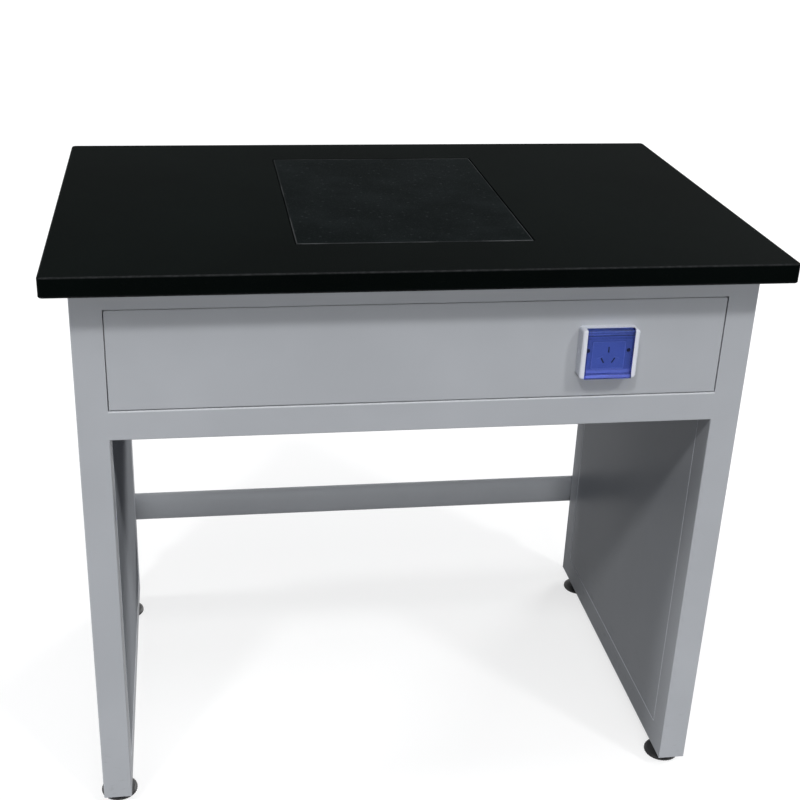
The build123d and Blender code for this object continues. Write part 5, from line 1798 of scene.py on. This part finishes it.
@dataclass
class Wiring:
    """The lead inside the apron, its clips, the junction box and the gland at the rear."""

    gland_steps: int = 48
    hexagon_across_flats: float = 24.0 * MM
    hexagon_length: float = 8.0 * MM
    hexagon_seat: tuple[float, float] = (0.4 * MM, 0.6 * MM)
    hexagon_edge: tuple[float, float] = (1.0 * MM, 0.8 * MM)
    thread_radius: float = 9.9 * MM
    thread_edge: tuple[float, float] = (1.0 * MM, 0.8 * MM)
    dome_radius: float = 9.8 * MM
    dome_straight_share: float = 0.42
    dome_sweep: float = math.radians(78)
    dome_steps: int = 6
    mouth_wall: float = 1.2 * MM
    mouth_edge: tuple[float, float] = (0.4 * MM, 0.6 * MM)
    bore_radius: float = 4.2 * MM
    rib_count: int = 18
    rib_width: float = 1.5 * MM
    rib_depth: float = 1.0 * MM
    rib_length_share: float = 0.45
    sheet_and_wall: float = 3.2 * MM
    cover_screw_inset: float = 6.0 * MM
    cover_screw_length: float = 1.6 * MM
    nut: Fastener = Fastener(over_corners(24.0 * MM), 5.0 * MM, 0.8 * MM, head_sides=6)
    cover_screw: Fastener = Fastener(3.0 * MM, 1.6 * MM, 0.5 * MM, seed=51, recess_width=3.0 * MM,
                                     recess_depth=0.9 * MM, shank_radius=1.6 * MM)

    def build(self, shop: Workshop) -> None:
        """Dresses the lead and boxes, and builds the gland and the cover screws.

        Args:
            shop: The workshop.
        """
        shop.dress("internal_lead", "lead_clips", "junction_box")
        self._gland(shop)
        self._cover_screws(shop)

    def _profile(self, inside: float, dome_length: float) -> Profile:
        """Draws the gland: a thread, a hexagon from height 0 on, and a dome with a mouth.

        Args:
            inside: The height of the thread's end, below 0.
            dome_length: The dome's length.

        Returns:
            The profile.
        """
        flat, thread, seam = self.hexagon_across_flats / 2, self.thread_radius, self.hexagon_length
        bore, mouth, tip = self.bore_radius, self.bore_radius + self.mouth_wall, seam + dome_length
        profile = [(bore, inside), (thread - self.thread_edge[0], inside),
                   (thread, inside + self.thread_edge[1]), (thread, 0.0),
                   (flat - self.hexagon_seat[0], 0.0), (flat, self.hexagon_seat[1]),
                   (flat, seam - self.hexagon_edge[1]), (flat - self.hexagon_edge[0], seam),
                   (self.dome_radius, seam)]
        for step in range(self.dome_steps + 1):
            angle = step / self.dome_steps * self.dome_sweep
            rise = self.dome_straight_share + (1.0 - self.dome_straight_share) * math.sin(angle)
            profile.append((mouth + (self.dome_radius - mouth) * math.cos(angle), seam + dome_length * rise))
        return profile + [(bore + self.mouth_edge[0], tip), (bore, tip - self.mouth_edge[1])]

    def _gland(self, shop: Workshop) -> None:
        """Builds the gland in the rear panel, and the nut that holds it inside.

        Args:
            shop: The workshop.
        """
        gland, rear_face = box_of("cable_gland"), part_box("rear_panel")[1].y
        middle, dome_length = gland.centre, gland.high.y - rear_face - self.hexagon_length
        body = turned_mesh("gland_body", self._profile(gland.low.y - rear_face, dome_length),
                           self.gland_steps)
        sizes = {"Count": self.rib_count, "Radius": self.thread_radius, "Bottom": self.hexagon_length,
                 "Height": dome_length * self.rib_length_share, "Rib Width": self.rib_width,
                 "Rib Depth": self.rib_depth}
        turn = Matrix.Rotation(math.radians(-90), 4, "X")
        shop.grow("gland_body", shop.ribs, body, sizes, "frame", "black_plastic", "cable_gland",
                  place=Matrix.Translation((middle.x, rear_face, middle.z)) @ turn)
        seat = Vector((middle.x, rear_face - self.sheet_and_wall, middle.z))
        points = point_mesh("gland_nut", [(seat, Facing.FORWARD.way)])
        shop.grow("gland_nut", shop.washers, points, self.nut.sizes(), "frame", "black_plastic")

    def _cover_screws(self, shop: Workshop) -> None:
        """Builds the four screws in the corners of the junction box's cover.

        Args:
            shop: The workshop.
        """
        name, inset = "junction_cover_screws", self.cover_screw_inset
        low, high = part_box("junction_box")
        places = [(Vector((x, low.y, z)), Facing.FORWARD.way)
                  for x in (low.x + inset, high.x - inset) for z in (low.z + inset, high.z - inset)]
        shop.grow(name, shop.cross_recess, point_mesh(name, places),
                  self.cover_screw.sizes(self.cover_screw_length), "frame", "zinc_steel")


# ---- the studio -------------------------------------------------------------------------------
@dataclass(frozen=True)
class SoftLamp:
    """One broad lamp, far off, so that its light is even over the whole floor."""

    name: str
    azimuth: float
    elevation: float
    breadth: float
    level: float
    distance: float = 4.0

    def hang(self) -> None:
        """Hangs the lamp: azimuth 0 is in front, 90 on the right, and level 1 lights white to white."""
        data = bpy.data.lights.new(self.name, "SUN")
        data.angle = math.radians(self.breadth)
        data.energy = self.level * math.pi
        lamp = bpy.data.objects.new(self.name, data)
        around, up = math.radians(self.azimuth), math.radians(self.elevation)
        towards = Vector((math.sin(around) * math.cos(up), -math.cos(around) * math.cos(up), math.sin(up)))
        lamp.location = towards * self.distance
        lamp.rotation_euler = towards.to_track_quat("Z", "Y").to_euler()
        bpy.context.scene.collection.objects.link(lamp)


@dataclass
class Studio:
    """The floor, the surrounding light, the lamps and the camera."""

    floor_size: float = 120.0
    floor_colour: Colour = (0.36, 0.36, 0.36)
    floor_roughness: float = 0.9
    floor_lift: float = 0.69
    floor_bounce: Colour = (0.11, 0.11, 0.115)
    fill: Colour = (0.080, 0.090, 0.104)
    lens: float = 59.014
    sensor_width: float = 36.0
    shift: tuple[float, float] = (0.0315, 0.0081)
    camera_place: Triple = (-0.28311, -1.71338, 1.29688)
    camera_angles: Triple = (64.9565, -1.6921, -7.9885)
    lamps: tuple[SoftLamp, ...] = (
        SoftLamp("high_left", -29.0, 49.0, 6.0, 0.262),
        SoftLamp("high_right", 37.0, 46.0, 6.0, 0.262),
        SoftLamp("overhead", 4.0, 60.0, 46.0, 0.28),
        SoftLamp("front_low", 1.0, 11.0, 9.0, 0.355),
        SoftLamp("left_side", -89.0, 26.0, 11.0, 0.46),
        SoftLamp("rear_right", 136.0, 32.0, 24.0, 0.50),
    )

    def build(self) -> None:
        """Builds the whole studio."""
        bpy.context.scene.view_settings.view_transform = "Standard"
        self._floor()
        self._surround()
        for lamp in self.lamps:
            lamp.hang()
        self._camera()
        LOG.info("studio: %d lamps", len(self.lamps))

    def _seen(self, board: NodeBoard) -> bpy.types.NodeSocket:
        """Tells the rays apart that show a surface as it looks, straight, mirrored or through glass.

        Args:
            board: The nodes of the floor or of the surroundings.

        Returns:
            1 for these rays and 0 for the rest.
        """
        path = board.put("ShaderNodeLightPath").outputs
        direct = board.math("MAXIMUM", path["Is Camera Ray"], path["Is Glossy Ray"])
        return board.math("MAXIMUM", direct, path["Is Transmission Ray"])

    def _floor(self) -> None:
        """Builds the pale floor."""
        half = self.floor_size / 2
        mesh = bpy.data.meshes.new("floor")
        mesh.from_pydata([(-half, -half, 0), (half, -half, 0), (half, half, 0), (-half, half, 0)], [],
                         [(0, 1, 2, 3)])
        floor = bpy.data.objects.new("floor", mesh)
        bpy.context.scene.collection.objects.link(floor)
        material = bpy.data.materials.new("pale_floor")
        material.use_nodes = True
        board = NodeBoard(material.node_tree)
        shader = material.node_tree.nodes["Principled BSDF"].inputs
        seen = self._seen(board)
        lift = (self.floor_lift,) * 3
        board.feed(shader["Base Color"], board.mix(seen, self.floor_bounce, self.floor_colour))
        board.feed(shader["Emission Color"], board.mix(seen, (0.0, 0.0, 0.0), lift))
        board.feed(shader["Emission Strength"], 1.0)
        board.feed(shader["Roughness"], self.floor_roughness)
        board.feed(shader["Specular IOR Level"], 0.0)
        mesh.materials.append(material)

    def _surround(self) -> None:
        """Sets the light from all round: white where it is seen, and a soft fill elsewhere."""
        world = bpy.data.worlds.new("surround")
        bpy.context.scene.world = world
        world.use_nodes = True
        board = NodeBoard(world.node_tree)
        background = world.node_tree.nodes["Background"].inputs
        board.feed(background["Color"], board.mix(self._seen(board), self.fill, (1.0, 1.0, 1.0)))
        board.feed(background["Strength"], 1.0)

    def _camera(self) -> None:
        """Places the camera."""
        data = bpy.data.cameras.new("camera")
        data.lens, data.sensor_width = self.lens, self.sensor_width
        data.shift_x, data.shift_y = self.shift
        camera = bpy.data.objects.new("camera", data)
        camera.location = self.camera_place
        camera.rotation_euler = [math.radians(angle) for angle in self.camera_angles]
        bpy.context.scene.collection.objects.link(camera)
        bpy.context.scene.camera = camera


def main() -> None:
    """Dresses the table and builds its studio."""
    logging.basicConfig(level=logging.INFO, format="%(message)s")
    Studio().build()
    shop = Workshop()
    for assembly in (Top(), SlabCarrier(), SteelFrame(), Apron(), FootRail(), LevellingFeet(),
                     MainsSocket(), Wiring()):
        assembly.build(shop)


if __name__ == "__main__":
    main()
